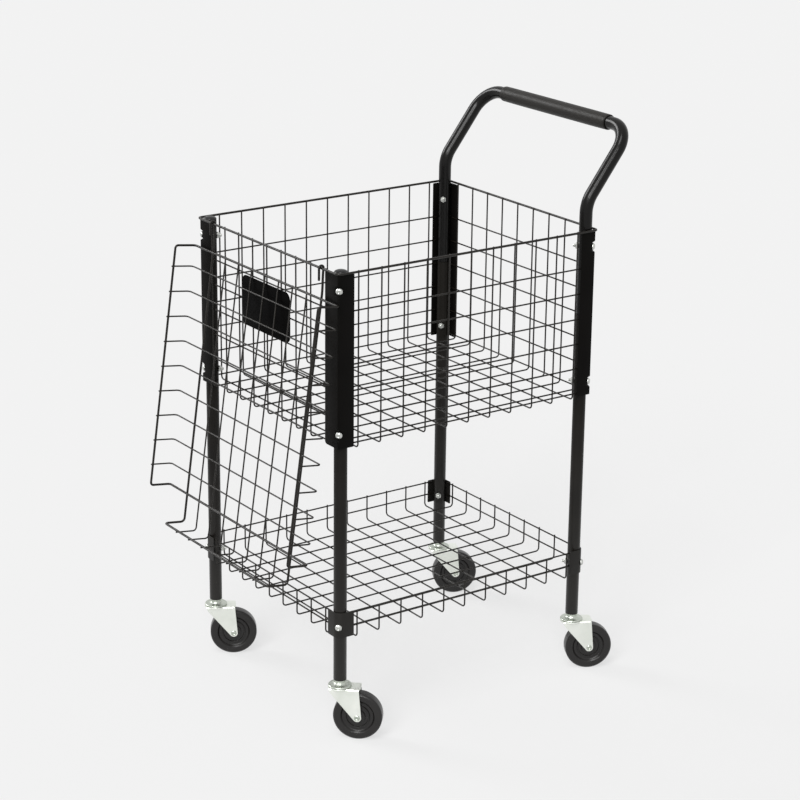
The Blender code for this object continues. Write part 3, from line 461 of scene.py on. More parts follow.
def soften(corners, steps=4, closed=False):
    """A profile of (radius, height, rounding) corners, each rounded off with a curve."""
    last = len(corners) - 1
    places = [Vector(corner[:2]) for corner in corners]
    profile = []
    for index, corner in enumerate(places):
        rounding = corners[index][2]
        if not rounding or (not closed and index in (0, last)):
            profile.append(tuple(corner))
            continue
        start = corner + (places[index - 1] - corner).normalized() * rounding
        end = corner + (places[(index + 1) % len(places)] - corner).normalized() * rounding
        for step in range(steps + 1):
            share = step / steps
            rest = 1 - share
            profile.append(tuple(start * rest ** 2 + corner * 2 * rest * share + end * share ** 2))
    return profile


def rounded_path(corners, radius, steps, closed=False):
    """The corner points, with each bend turned into an arc."""
    corners = [Vector(corner) for corner in corners]
    last = len(corners) - 1
    path = []
    for index, corner in enumerate(corners):
        if not closed and index in (0, last):
            path.append(corner)
            continue
        before = (corners[index - 1] - corner).normalized()
        after = (corners[(index + 1) % len(corners)] - corner).normalized()
        half = before.angle(after) / 2
        centre = corner + (before + after).normalized() * radius / sin(half)
        spoke = corner + before * radius / tan(half) - centre
        axis = before.cross(after)
        sweep = 2 * half - pi
        for step in range(steps + 1):
            path.append(centre + Quaternion(axis, sweep * step / steps) @ spoke)
    return path


def arc(centre, radius, start, end, steps):
    turns = [start + (end - start) * step / steps for step in range(steps + 1)]
    return [(centre[0] + radius * cos(turn), centre[1] + radius * sin(turn)) for turn in turns]


def skin(form, rows, closed=False):
    """Faces between rows of points; a row of one point closes the skin in a fan."""
    rows = [[form.verts.new(point) for point in row] for row in rows]
    pairs = list(zip(rows, rows[1:]))
    if closed:
        pairs.append((rows[-1], rows[0]))
    for first, second in pairs:
        count = max(len(first), len(second))
        for index in range(count):
            after = (index + 1) % count
            if len(first) == 1:
                form.faces.new((first[0], second[after], second[index]))
            elif len(second) == 1:
                form.faces.new((first[index], first[after], second[0]))
            else:
                form.faces.new((first[index], first[after], second[after], second[index]))
    return rows


def add_turned(form, profile, sides, matrix=Matrix(), closed=False, flats=0):
    """A profile of (radius, height) points turned about Z. With flats, the rings are
    polygons with that many sides, and their radius is the distance to a side."""
    rows = []
    for radius, height in profile:
        if radius < TINY:
            rows.append([matrix @ Vector((0, 0, height))])
            continue
        row = []
        for index in range(sides):
            angle = 2 * pi * index / sides
            reach = radius
            if flats:
                turn = angle % (2 * pi / flats) - pi / flats
                reach = radius / cos(turn)
            row.append(matrix @ Vector((reach * cos(angle), reach * sin(angle), height)))
        rows.append(row)
    skin(form, rows, closed)


def along_path(path, closed=False):
    """Each point of a path with two directions across it, carried along without twist."""
    count = len(path)
    tangents = []
    for index, point in enumerate(path):
        before = path[index - 1] if closed or index else point
        after = path[(index + 1) % count] if closed or index < count - 1 else point
        tangents.append((after - before).normalized())
    across = tangents[0].orthogonal().normalized()
    stations = []
    for index, tangent in enumerate(tangents):
        if index:
            across = tangents[index - 1].rotation_difference(tangent) @ across
        stations.append((path[index], tangent, across))
    if closed:
        last = tangents[-1].rotation_difference(tangents[0]) @ across
        first = stations[0][2]
        twist = last.angle(first)
        if last.cross(first).dot(tangents[0]) < 0:
            twist = -twist
        stations = [(point, tangent, Quaternion(tangent, twist * index / count) @ side)
                    for index, (point, tangent, side) in enumerate(stations)]
    return stations


def ring_at(station, radius, sides):
    point, tangent, across = station
    up = tangent.cross(across)
    turns = [2 * pi * index / sides for index in range(sides)]
    return [point + radius * (cos(turn) * across + sin(turn) * up) for turn in turns]


def bar_end(station, inward, radius, sides):
    """Rows of a rounded end, from the middle of its face to the bar's full radius."""
    point, tangent, across = station
    edge = radius * BAR_END_SHARE
    rows = [[point]]
    for turn in (pi / 2, pi / 4, 0):
        place = point + tangent * (inward * edge * (1 - sin(turn)))
        rows.append(ring_at((place, tangent, across), radius - edge * (1 - cos(turn)), sides))
    return rows


def add_bar(form, path, radius, sides, closed=False):
    """A round bar along a path; the ends of an open one are rounded over."""
    stations = along_path([Vector(point) for point in path], closed)
    rows = [ring_at(station, radius, sides) for station in stations]
    if not closed:
        end = bar_end(stations[-1], -1, radius, sides)
        rows = bar_end(stations[0], 1, radius, sides) + rows[1:-1] + end[::-1]
    skin(form, rows, closed)


def add_wire(form, corners):
    add_bar(form, rounded_path(corners, WIRE_BEND_RADIUS, WIRE_BEND_STEPS), WIRE_RADIUS, WIRE_SIDES)


def add_bead(form, place, radius=BEAD_RADIUS):
    """The small swelling of a weld where two wires cross."""
    turns = [pi * step / BEAD_STEPS for step in range(BEAD_STEPS + 1)]
    profile = [(radius * sin(turn), radius * cos(turn)) for turn in turns]
    add_turned(form, profile, WIRE_SIDES, Matrix.Translation(place))


def add_prism(form, levels):
    """Pairs of a height and an outline in XY, joined and closed at both ends."""
    rows = skin(form, [[(x, y, height) for x, y in outline] for height, outline in levels])
    form.faces.new(rows[0])
    form.faces.new(rows[-1])


def sharp_edges(form, angle):
    bmesh.ops.recalc_face_normals(form, faces=form.faces)
    return [edge for edge in form.edges if edge.calc_face_angle(0) > angle]


def round_edges(form, edges, width, segments, clamp=True):
    bmesh.ops.bevel(form, geom=edges, offset=width, segments=segments, profile=0.5,
                    affect="EDGES", clamp_overlap=clamp)


def soften_edges(form):
    """Rounds the sharp edges of sheet metal or moulded plastic."""
    round_edges(form, sharp_edges(form, BEVEL_ANGLE), EDGE, EDGE_SEGMENTS)


def finish_piece(form, node, ending, material, slot, matrix):
    """Turns a form into a named piece that rides with its node's body and replaces it."""
    bmesh.ops.transform(form, matrix=matrix, verts=form.verts)
    bmesh.ops.recalc_face_normals(form, faces=form.faces)
    mesh = bpy.data.meshes.new(f"{node}_{ending}")
    form.to_mesh(mesh)
    form.free()
    mesh.shade_smooth()
    mesh.set_sharp_from_angle(angle=SHADING_ANGLE)
    mesh.materials.append(material)
    piece = bpy.data.objects.new(f"{node}_{ending}", mesh)
    bpy.context.scene.collection.objects.link(piece)
    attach(piece, BODY_OF[node])
    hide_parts(node)
    return piece


def finish_turned(profile, sides, closed, *piece):
    """Turns one profile about Z into a named piece."""
    form = bmesh.new()
    add_turned(form, profile, sides, closed=closed)
    return finish_piece(form, *piece)


# Wire basket and shelf


def wire_places(leg, flange):
    """Wire places on either side of the middle, a pitch apart, between the legs' flanges."""
    count = int((leg + SHEET_OUTER - flange - WIRE_RADIUS - FIT) / WIRE_PITCH)
    return [WIRE_PITCH * index for index in range(-count, count + 1)]


def add_bent_wires(form, places, wall, top, floor, across):
    """U-shaped wires: down one wall, along the floor and up the opposite wall."""
    for place in places:
        corners = [(-wall, top), (-wall, floor), (wall, floor), (wall, top)]
        if across:
            add_wire(form, [(x, place, z) for x, z in corners])
        else:
            add_wire(form, [(place, y, z) for y, z in corners])


def add_wall_beads(form, places_x, places_y, offset, height):
    """The welds round all four walls at one height."""
    for side in (-1, 1):
        for place in places_y:
            add_bead(form, (side * (LEG_X + offset), place, height))
        for place in places_x:
            add_bead(form, (place, side * (LEG_Y + offset), height))


def add_wire_tray(form, top, floor, ring_heights, front_flange, side_flange, rim=None):
    """Bent wires both ways, ring wires inside them and, on the basket, a rim outside."""
    places_x = wire_places(LEG_X, front_flange)
    places_y = wire_places(LEG_Y, side_flange)
    upper_floor = floor + 2 * WIRE_RADIUS - WELD_SINK
    add_bent_wires(form, places_y, LEG_X + UPRIGHT_OFFSET, top, floor, True)
    add_bent_wires(form, places_x, LEG_Y + UPRIGHT_OFFSET, top, upper_floor, False)
    end_x = LEG_X - TUBE_RADIUS
    end_y = LEG_Y - TUBE_RADIUS
    for height in ring_heights:
        for side in (-1, 1):
            x = side * (LEG_X + RING_OFFSET)
            y = side * (LEG_Y + RING_OFFSET)
            add_wire(form, [(-end_x, y, height), (end_x, y, height)])
            add_wire(form, [(x, -end_y, height), (x, end_y, height)])
        add_wall_beads(form, places_x, places_y, (RING_OFFSET + UPRIGHT_OFFSET) / 2, height)
    for place_x in places_x:
        for place_y in places_y:
            add_bead(form, (place_x, place_y, (floor + upper_floor) / 2))
    if rim is None:
        return
    rim_x = LEG_X + RIM_OFFSET
    rim_y = LEG_Y + RIM_OFFSET
    corners = [(-rim_x, -rim_y, rim), (rim_x, -rim_y, rim), (rim_x, rim_y, rim), (-rim_x, rim_y, rim)]
    path = rounded_path(corners, ROD_BEND_RADIUS, ROD_BEND_STEPS, closed=True)
    add_bar(form, path, ROD_RADIUS, ROD_SIDES, closed=True)
    add_wall_beads(form, places_x, places_y, UPRIGHT_OFFSET + WIRE_RADIUS - WELD_SINK / 2, rim)


def build_basket():
    heights = [RIM_HEIGHT - FIRST_RING_DROP - WIRE_PITCH * index for index in range(RING_COUNT)]
    form = bmesh.new()
    add_wire_tray(form, RIM_HEIGHT + UPRIGHT_STUB, BASKET_FLOOR, heights,
                  PLATE_FRONT_FLANGE, PLATE_SIDE_FLANGE, rim=RIM_HEIGHT)
    finish_piece(form, "basket", "wires", WIRE_COAT, "black_steel", Matrix.Translation(CENTRE))


def build_shelf():
    form = bmesh.new()
    add_wire_tray(form, SHELF_RIM_HEIGHT + UPRIGHT_STUB, SHELF_FLOOR,
                  [SHELF_RIM_HEIGHT, SHELF_RIM_HEIGHT - SHELF_RING_DROP],
                  BRACKET_FRONT_FLANGE, BRACKET_SIDE_FLANGE)
    finish_piece(form, "shelf", "wires", WIRE_COAT, "black_steel", Matrix.Translation(CENTRE))


# Legs, plates and bolts


def leg_matrix(corner):
    axis = LEG_AXES[corner]
    return Matrix.Translation((axis.x, axis.y, 0))


def build_leg(corner):
    low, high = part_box("leg_" + corner)
    bore = TUBE_RADIUS - TUBE_WALL
    edge = TUBE_WALL / 4
    profile = soften([(bore, high.z, edge), (TUBE_RADIUS, high.z, edge), (TUBE_RADIUS, low.z, edge),
                      (bore, low.z, edge)], steps=2, closed=True)
    finish_turned(profile, TUBE_SIDES, True, "leg_" + corner, "tube", LEG_COAT, "black_steel",
                  leg_matrix(corner))


def corner_outline(corner, front_flange, side_flange, bend=SHEET_OUTER):
    """An L section, whose bend hugs the tube if not tighter; the front flange runs along X."""
    side_x, side_y = CORNERS[corner]
    end_x = SHEET_OUTER - front_flange
    end_y = SHEET_OUTER - side_flange
    middle = (SHEET_OUTER - bend, SHEET_OUTER - bend)
    outer = arc(middle, bend, 0, pi / 2, SHEET_BEND_STEPS)
    inner = arc(middle, bend - SHEET_THICKNESS, pi / 2, 0, SHEET_BEND_STEPS)
    points = [(SHEET_OUTER, end_y), *outer, (end_x, SHEET_OUTER), (end_x, SHEET_INNER), *inner,
              (SHEET_INNER, end_y)]
    return [(side_x * x, side_y * y) for x, y in points]


def finish_sheet(form, node, corner, coat):
    """Rounds the free corners and the edges of a folded sheet on a leg."""
    bmesh.ops.recalc_face_normals(form, faces=form.faces)
    low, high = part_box(node)
    ends = []
    for edge in form.edges:
        heights = [vertex.co.z for vertex in edge.verts]
        at_end = max(heights) < low.z + TINY or min(heights) > high.z - TINY
        if at_end and abs(edge.calc_length() - SHEET_THICKNESS) < TINY:
            ends.append(edge)
    round_edges(form, ends, SHEET_CORNER, CORNER_SEGMENTS, clamp=False)
    soften_edges(form)
    finish_piece(form, node, "sheet", coat, "black_steel", leg_matrix(corner))


def build_bracket(node, corner):
    outline = corner_outline(corner, BRACKET_FRONT_FLANGE, BRACKET_SIDE_FLANGE)
    form = bmesh.new()
    add_prism(form, [(place.z, outline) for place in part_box(node)])
    finish_sheet(form, node, corner, BRACKET_COAT_PAINTED_LIGHT)


def build_corner_plate(node, corner):
    """A folded plate with a tight bend, pressed back against the tube round each bolt."""
    low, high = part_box(node)
    bolts = sorted(middle_of(f"{kind}_basket_bolt_{corner}").z for kind in ("upper", "lower"))
    tightness = [(low.z, 1)]
    for bolt in bolts:
        for side in (-1, 1):
            for step in range(PRESS_STEPS + 1):
                share = step / PRESS_STEPS if side > 0 else 1 - step / PRESS_STEPS
                tightness.append((bolt + side * (PRESS_FLAT + PRESS_SLOPE * share), eased(share)))
    tightness.append((high.z, 1))
    levels = []
    for height, share in tightness:
        bend = SHEET_OUTER + (PLATE_BEND_RADIUS - SHEET_OUTER) * share
        levels.append((height, corner_outline(corner, PLATE_FRONT_FLANGE, PLATE_SIDE_FLANGE, bend)))
    form = bmesh.new()
    add_prism(form, levels)
    finish_sheet(form, node, corner, PLATE_COAT_PAINTED_SHADE)


def bolt_thread(start, end):
    """Profile points of a thread from one height down to another."""
    points = []
    height = start
    while height > end + THREAD_PITCH:
        points.append((BOLT_RADIUS, height - THREAD_PITCH * THREAD_CREST))
        points.append((BOLT_RADIUS - THREAD_DEPTH, height - THREAD_PITCH * THREAD_ROOT))
        height -= THREAD_PITCH
    return points


def build_bolt(node, corner):
    """A domed head with a round recess outside, a nut and the thread's end inside."""
    side_x, side_y = CORNERS[corner]
    turn = Matrix.Rotation(atan2(side_y, side_x), 4, "Z") @ Matrix.Rotation(pi / 2, 4, "Y")
    middle = Matrix.Translation((0, 0, middle_of(node).z))
    matrix = leg_matrix(corner) @ middle @ turn
    nut_top = -TUBE_RADIUS - FIT
    nut_end = nut_top - NUT_HEIGHT
    end = nut_end - BOLT_END
    root = BOLT_RADIUS - THREAD_DEPTH
    head = soften(raised(BOLT_HEAD, SHEET_OUTER + FIT))
    thread = [(BOLT_RADIUS, nut_end), *bolt_thread(nut_end, end), (root, end + BOLT_POINT),
              (root - THREAD_DEPTH, end), (0, end)]
    nut = [(root, nut_top), (NUT_FLAT * NUT_FACE_SHARE, nut_top), (NUT_FLAT, nut_top - NUT_BEVEL),
           (NUT_FLAT, nut_end + NUT_BEVEL), (NUT_FLAT * NUT_BACK_SHARE, nut_end),
           (BOLT_RADIUS + THREAD_DEPTH, nut_end), (root, nut_end + THREAD_DEPTH)]
    form = bmesh.new()
    add_turned(form, head + thread, BOLT_SIDES)
    add_turned(form, nut, BOLT_SIDES, closed=True, flats=6)
    finish_piece(form, node, "fastener", BOLT_ZINC_PAINTED_SHADE, "zinc_steel", matrix)


def build_cap(corner):
    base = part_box("leg_" + corner)[1].z + FIT
    rim = base + CAP_FLANGE
    turns = [radians(angle) for angle in CAP_ANGLES]
    dome = [(TUBE_RADIUS * cos(turn), rim + CAP_DOME * sin(turn)) for turn in turns]
    profile = [(0, rim + CAP_DOME), *dome, *soften(raised(CAP_SKIRT, base))]
    finish_turned(profile, TUBE_SIDES, False, "leg_cap_" + corner, "dome", PLASTIC, "black_plastic",
                  leg_matrix(corner))


# Handle


def handle_path():
    """The tube's axis from one joint with its leg over the crossbar to the other."""
    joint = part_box("leg_rear_left")[1].z + FIT
    top_y = LEG_Y + HANDLE_SETBACK
    bend = RIM_HEIGHT + HANDLE_BEND_RISE
    top = RIM_HEIGHT + HANDLE_TOP_RISE
    side = [(-LEG_X, LEG_Y, joint), (-LEG_X, LEG_Y, bend), (-LEG_X, top_y, top)]
    lower = rounded_path(side, HANDLE_LOWER_RADIUS, TUBE_BEND_STEPS)[:-1]
    other = [(-x, y, z) for x, y, z in side[::-1]]
    upper = rounded_path(side[1:] + other[:-1], HANDLE_UPPER_RADIUS, TUBE_BEND_STEPS)[1:-1]
    return lower + upper + [Vector((-point.x, point.y, point.z)) for point in lower[::-1]]


def build_handle():
    """A hollow tube with drawn-in ends that plug into the rear legs."""
    path = handle_path()
    groove = HANDLE_GROOVE
    below = [(SWAGE_LENGTH, PLUG_RADIUS), (HANDLE_GROOVE_REACH, PLUG_RADIUS),
             (groove, PLUG_RADIUS + groove), (0, TUBE_RADIUS - groove)]
    start = [(path[0] - Vector((0, 0, drop)), radius) for drop, radius in below]
    path[0] = path[0] + Vector((0, 0, groove))
    path[-1] = path[-1] + Vector((0, 0, groove))
    run = start + [(point, TUBE_RADIUS) for point in path]
    run += [(Vector((-point.x, point.y, point.z)), radius) for point, radius in start[::-1]]
    points, radii = zip(*run)
    stations = list(zip(along_path(points), radii))
    outside = [ring_at(station, radius, TUBE_SIDES) for station, radius in stations]
    inside = [ring_at(station, radius - TUBE_WALL, TUBE_SIDES) for station, radius in stations]
    form = bmesh.new()
    skin(form, outside + inside[::-1], closed=True)
    finish_piece(form, "handle", "tube", HANDLE_COAT_PAINTED_SHADE, "black_steel", Matrix.Translation(CENTRE))


def build_grip():
    """A foam sleeve, a little fuller in the middle than at its ends."""
    low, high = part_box("handle_grip")
    half = (high.x - low.x) / 2
    bore = TUBE_RADIUS + FIT
    side = []
    for step in range(GRIP_STEPS + 1):
        share = 2 * step / GRIP_STEPS - 1
        fullness = 1 - GRIP_TAPER * abs(share) ** GRIP_TAPER_POWER
        side.append((GRIP_RADIUS * fullness, -share * (half - GRIP_ROUNDING), 0))
    end = GRIP_RADIUS * GRIP_END_SHARE
    corners = [(bore, half, GRIP_BORE_ROUNDING), (end, half, GRIP_END_ROUNDING), *side,
               (end, -half, GRIP_END_ROUNDING), (bore, -half, GRIP_BORE_ROUNDING)]
    matrix = Matrix.Translation(middle_of("handle_grip")) @ Matrix.Rotation(pi / 2, 4, "Y")
    profile = soften(corners, closed=True)
    grip = finish_turned(profile, GRIP_SIDES, True, "handle_grip", "sleeve", FOAM, "grip_foam", matrix)


# Sign plate


def build_sign():
    low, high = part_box("sign_plate")
    half_x = (high.x - low.x) / 2 - SIGN_CORNER_RADIUS
    half_z = (high.z - low.z) / 2 - SIGN_CORNER_RADIUS
    half_thickness = (high.y - low.y) / 2
    outline = []
    corners = ((half_x, half_z), (-half_x, half_z), (-half_x, -half_z), (half_x, -half_z))
    for index, (x, z) in enumerate(corners):
        start = index * pi / 2
        outline += arc((x, z), SIGN_CORNER_RADIUS, start, start + pi / 2, SHEET_BEND_STEPS)
    form = bmesh.new()
    add_prism(form, [(-half_thickness, outline), (half_thickness, outline)])
    soften_edges(form)
    matrix = Matrix.Translation(middle_of("sign_plate")) @ Matrix.Rotation(pi / 2, 4, "X")
    finish_piece(form, "sign_plate", "sheet", SIGN, "sign_plastic", matrix)
    for row in ("upper", "lower"):
        for column in ("left", "right"):
            build_clip(f"sign_clip_{row}_{column}")


def build_clip(node):
    """A small moulded clip round an upright, on the back of the sign."""
    low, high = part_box(node)
    half = (high.x - low.x) / 2
    depth = high.y - low.y
    slot = WIRE_RADIUS + FIT
    hold = arc((0, depth - CLIP_WALL - slot), slot, pi, 0, SHEET_BEND_STEPS)
    outline = [(-half, 0), (-slot, 0), *hold, (slot, 0), (half, 0), (half, depth), (-half, depth)]
    form = bmesh.new()
    add_prism(form, [(low.z, outline), (high.z, outline)])
    soften_edges(form)
    matrix = Matrix.Translation(((low.x + high.x) / 2, low.y, 0))
    finish_piece(form, node, "moulding", PLASTIC, "black_plastic", matrix)


# Lid

LID_RAIL_X = wire_places(LEG_X, PLATE_FRONT_FLANGE)[-1] - LID_RAIL_INSET


def lid_hook(side):
    """The start of a rail, from the hook's tail round the rim to its straight run."""
    x = side * LID_RAIL_X
    points = [(x, HOOK_RADIUS - HOOK_PINCH, HOOK_TAIL)]
    for index in range(HOOK_STEPS + 1):
        angle = pi * index / HOOK_STEPS
        points.append((x, HOOK_RADIUS * cos(angle), -HOOK_RADIUS * sin(angle)))
    foot = LID_HEAD - LID_SHANK_TAPER
    for index in range(1, SHANK_STEPS):
        share = index / SHANK_STEPS
        level = -HOOK_RADIUS + (LID_RAIL_LEVEL + HOOK_RADIUS) * eased(share)
        points.append((x, level, foot * share))
    points.append((x, LID_RAIL_LEVEL, foot))
    return [Vector(point) for point in points]


def lid_rail_loop():
    left = lid_hook(-1)
    right = lid_hook(1)
    x = LID_RAIL_X
    outer = LID_RAIL_LEVEL + LID_FLANGE
    corners = [left[-1], (-x, LID_RAIL_LEVEL, LID_REACH), (-x, outer, LID_REACH), (x, outer, LID_REACH),
               (x, LID_RAIL_LEVEL, LID_REACH), right[-1]]
    return left[:-1] + rounded_path(corners, ROD_BEND_RADIUS, ROD_BEND_STEPS) + right[:-1][::-1]


def lid_frame_loop():
    inner = LID_LOOP_LEVEL
    outer = LID_LOOP_LEVEL + LID_FLANGE
    x = LID_SIDE_X
    corners = [(-x, inner, LID_HEAD), (x, inner, LID_HEAD), (x, outer, LID_HEAD), (x, outer, LID_FOOT),
               (x, inner, LID_FOOT), (-x, inner, LID_FOOT), (-x, outer, LID_FOOT), (-x, outer, LID_HEAD)]
    return rounded_path(corners, LID_BEND_RADIUS, ROD_BEND_STEPS, closed=True)


def add_lid_wires(form):
    outer = LID_LOOP_LEVEL + LID_FLANGE + ROD_RADIUS
    reaches = [LID_HEAD + LID_END_GAP + WIRE_PITCH * index for index in range(LID_CROSS_WIRE_COUNT)]
    for reach in reaches:
        add_wire(form, [(-LID_LEG_X, outer, reach), (-LID_LEG_X, LID_CROSS_WIRE_LEVEL, reach),
                        (LID_LEG_X, LID_CROSS_WIRE_LEVEL, reach), (LID_LEG_X, outer, reach)])
    pitch = 2 * LID_RAIL_X / (LID_LENGTH_WIRE_COUNT + 1)
    foot = LID_REACH + ROD_RADIUS + WIRE_RADIUS - WELD_SINK
    end = LID_RAIL_LEVEL + LID_FLANGE + ROD_RADIUS
    places = [pitch * index - LID_RAIL_X for index in range(1, LID_LENGTH_WIRE_COUNT + 1)]
    for x in places:
        add_wire(form, [(x, LID_LENGTH_WIRE_LEVEL, LID_HEAD - UPRIGHT_STUB),
                        (x, LID_LENGTH_WIRE_LEVEL, foot), (x, end, foot)])
        for reach in reaches:
            add_bead(form, (x, (LID_LENGTH_WIRE_LEVEL + LID_CROSS_WIRE_LEVEL) / 2, reach))
        for reach in (LID_HEAD, LID_FOOT):
            add_bead(form, (x, LID_LOOP_LEVEL - ROD_RADIUS + LID_WELD_SINK / 2, reach))
    weld = LID_SIDE_X + ROD_RADIUS - WELD_SINK / 2
    for side in (-1, 1):
        for reach in reaches:
            add_bead(form, (side * weld, LID_LOOP_LEVEL + LID_FLANGE, reach))
            add_bead(form, (side * LID_RAIL_X, LID_CROSS_WIRE_LEVEL - WIRE_RADIUS + WELD_SINK / 2, reach))
        for reach in (LID_HEAD, LID_FOOT):
            add_bead(form, (side * LID_RAIL_X, (LID_LOOP_LEVEL + LID_RAIL_LEVEL) / 2, reach), ROD_RADIUS)


def build_lid():
    """Modelled along +Z from its hinge, then turned to hang from the front rim."""
    form = bmesh.new()
    add_bar(form, lid_rail_loop(), ROD_RADIUS, ROD_SIDES)
    add_bar(form, lid_frame_loop(), ROD_RADIUS, ROD_SIDES, closed=True)
    add_lid_wires(form)
    matrix = Matrix.Translation(HINGE) @ Matrix.Rotation(pi - LID_LEAN, 4, "X")
    finish_piece(form, "lid", "wires", WIRE_COAT, "black_steel", matrix)


# Casters


def build_neck(corner):
    """The stem in the leg, a neck, the pressed cup with its rolled rim and the kingpin."""
    leg_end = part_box("leg_" + corner)[0].z
    stem_top = leg_end + STEM_LENGTH
    shoulder = leg_end - FIT
    lip = CUP_BOTTOM + CUP_GAP
    head_top = CROWN_DISC_BOTTOM - FIT
    head_bottom = head_top - KINGPIN_HEAD_HEIGHT
    profile = soften([
        (0, stem_top, 0), (PLUG_RADIUS, stem_top, 0.001), (PLUG_RADIUS, shoulder, 0),
        (NECK_RADIUS, shoulder, 0.0004), *raised(CUP_DOME, CUP_TOP),
        (CUP_RADIUS, lip, 0.0006), (CUP_BORE, lip, 0.0003), (CUP_BORE, CUP_ROOF_BOTTOM, 0.0005),
        (KINGPIN_RADIUS, CUP_ROOF_BOTTOM, 0), (KINGPIN_RADIUS, head_top, 0),
        (KINGPIN_HEAD_RADIUS, head_top, 0.0004),
        (KINGPIN_HEAD_RADIUS * KINGPIN_FOOT_SHARE, head_bottom, 0.001), (0, head_bottom, 0)])
    finish_turned(profile, CASTER_SIDES, False, "caster_neck_" + corner, "pressing", ZINC_PAINTED_SHADE,
                  "zinc_steel", leg_matrix(corner))


def build_race(corner, matrix):
    low = CROWN_TOP + FIT
    high = low + RACE_HEIGHT
    profile = soften([(RACE_HOLE_RADIUS, high, 0.0003), (RACE_RADIUS, high, 0.0008),
                      (RACE_RADIUS, low, 0.0005), (RACE_HOLE_RADIUS, low, 0.0003)], closed=True)
    finish_turned(profile, CASTER_SIDES, True, "swivel_race_" + corner, "ring", ZINC_PAINTED_SHADE,
                  "zinc_steel", matrix)


def fork_edge(trail, side, top):
    """The front (-1) or rear (1) outline of the fork's legs, as a function of height."""
    axle = Vector((trail, WHEEL_RADIUS))
    away = top - axle
    turn = atan2(away.y, away.x) - side * acos(FORK_END_RADIUS / away.length)
    touch = axle + Vector((cos(turn), sin(turn))) * FORK_END_RADIUS

    def place(height):
        if height >= top.y:
            return top.x
        if height <= touch.y:
            drop = min(abs(height - axle.y), FORK_END_RADIUS)
            return axle.x + side * sqrt(FORK_END_RADIUS ** 2 - drop ** 2)
        return touch.x + (top.x - touch.x) * (height - touch.y) / (top.y - touch.y)

    return place


def fork_rows(trail):
    """Half of the bent sheet, from the tip of a leg up to the middle of the crown: each
    row has its outer place, its inner place and its two ends along the trail."""
    front = fork_edge(trail, -1, Vector((-FORK_FRONT, CROWN_TOP - FORK_DROP)))
    rear = fork_edge(trail, 1, Vector((FORK_REAR, CROWN_TOP)))
    bend_y = FORK_OUTER - FORK_BEND_RADIUS
    bend_z = CROWN_TOP - FORK_BEND_RADIUS
    inner_radius = FORK_BEND_RADIUS - FORK_SHEET
    rows = []
    tip = [WHEEL_RADIUS - FORK_END_RADIUS * sin(radians(angle)) for angle in FORK_TIP_ANGLES]
    leg = [WHEEL_RADIUS + (bend_z - WHEEL_RADIUS) * step / FORK_LEG_STEPS
           for step in range(1, FORK_LEG_STEPS + 1)]
    for height in tip + leg:
        rows.append(((FORK_OUTER, height), (FORK_INNER, height), front(height), rear(height)))
    for step in range(1, FORK_BEND_STEPS + 1):
        turn = pi / 2 * step / FORK_BEND_STEPS
        outer = (bend_y + FORK_BEND_RADIUS * cos(turn), bend_z + FORK_BEND_RADIUS * sin(turn))
        inner = (bend_y + inner_radius * cos(turn), bend_z + inner_radius * sin(turn))
        rows.append((outer, inner, -FORK_FRONT, FORK_REAR))
    for step in range(1, CROWN_STEPS + 1):
        y = bend_y * (1 - step / CROWN_STEPS)
        past = max(0.0, (y - (bend_y - FORK_TAB_ROUNDING)) / FORK_TAB_ROUNDING)
        tab = FORK_REAR + (FORK_TAB - FORK_REAR) * sqrt(max(0.0, 1 - past ** 2))
        nose = min(-FORK_FRONT, -sqrt(CROWN_RADIUS ** 2 - y ** 2))
        rows.append(((y, CROWN_TOP), (y, CROWN_BOTTOM), nose, tab))
    return rows


def fork_face(form, rows, face):
    """One face of the fork's sheet as a grid of points, with a hole round the kingpin."""
    grid = []
    near_pin = set()
    for *faces, front, rear in rows:
        y, z = faces[face]
        outer_y, outer_z = faces[0]
        points = []
        for column in range(FORK_COLUMNS + 1):
            x = front + (rear - front) * column / FORK_COLUMNS
            points.append(form.verts.new((x, y, z)))
            if outer_z > CROWN_TOP - TINY and x ** 2 + outer_y ** 2 < CROWN_HOLE_REACH ** 2:
                near_pin.add(points[-1])
        grid.append(points)
    for first, second in zip(grid, grid[1:]):
        for column in range(FORK_COLUMNS):
            cell = (first[column], first[column + 1], second[column + 1], second[column])
            if not near_pin.issuperset(cell):
                form.faces.new(cell)
    return [point for points in grid for point in points]


def build_fork(corner, trail, matrix):
    """One bent sheet, two legs and a crown with a rounded tab, over a round crown plate that
    hides the sheet's hole for the kingpin."""
    half = fork_rows(trail)
    rows = half + [((-outer[0], outer[1]), (-inner[0], inner[1]), front, rear)
                   for outer, inner, front, rear in half[-2::-1]]
    form = bmesh.new()
    outer_points = fork_face(form, rows, 0)
    rim = [edge.verts[:] for edge in form.edges if edge.is_boundary]
    below = dict(zip(outer_points, fork_face(form, rows, 1)))
    for start, end in rim:
        form.faces.new((start, end, below[end], below[start]))
    loose = [vertex for vertex in form.verts if not vertex.link_faces]
    bmesh.ops.delete(form, geom=loose, context="VERTS")
    outside = [edge for edge in sharp_edges(form, FORK_BEVEL_ANGLE)
               if max(vertex.co.xy.length for vertex in edge.verts) > CROWN_HOLE_REACH]
    round_edges(form, outside, FORK_EDGE, FORK_EDGE_SEGMENTS)
    top = CROWN_TOP + CROWN_LIFT
    hole = KINGPIN_RADIUS + FIT
    crown = soften([(hole, top, 0), (CROWN_RADIUS, top, 0.0008), (CROWN_RADIUS, CROWN_DISC_BOTTOM, 0.0018),
                    (hole, CROWN_DISC_BOTTOM, 0)], closed=True)
    add_turned(form, crown, CASTER_SIDES, closed=True)
    finish_piece(form, "caster_fork_" + corner, "sheet", ZINC, "zinc_steel", matrix)


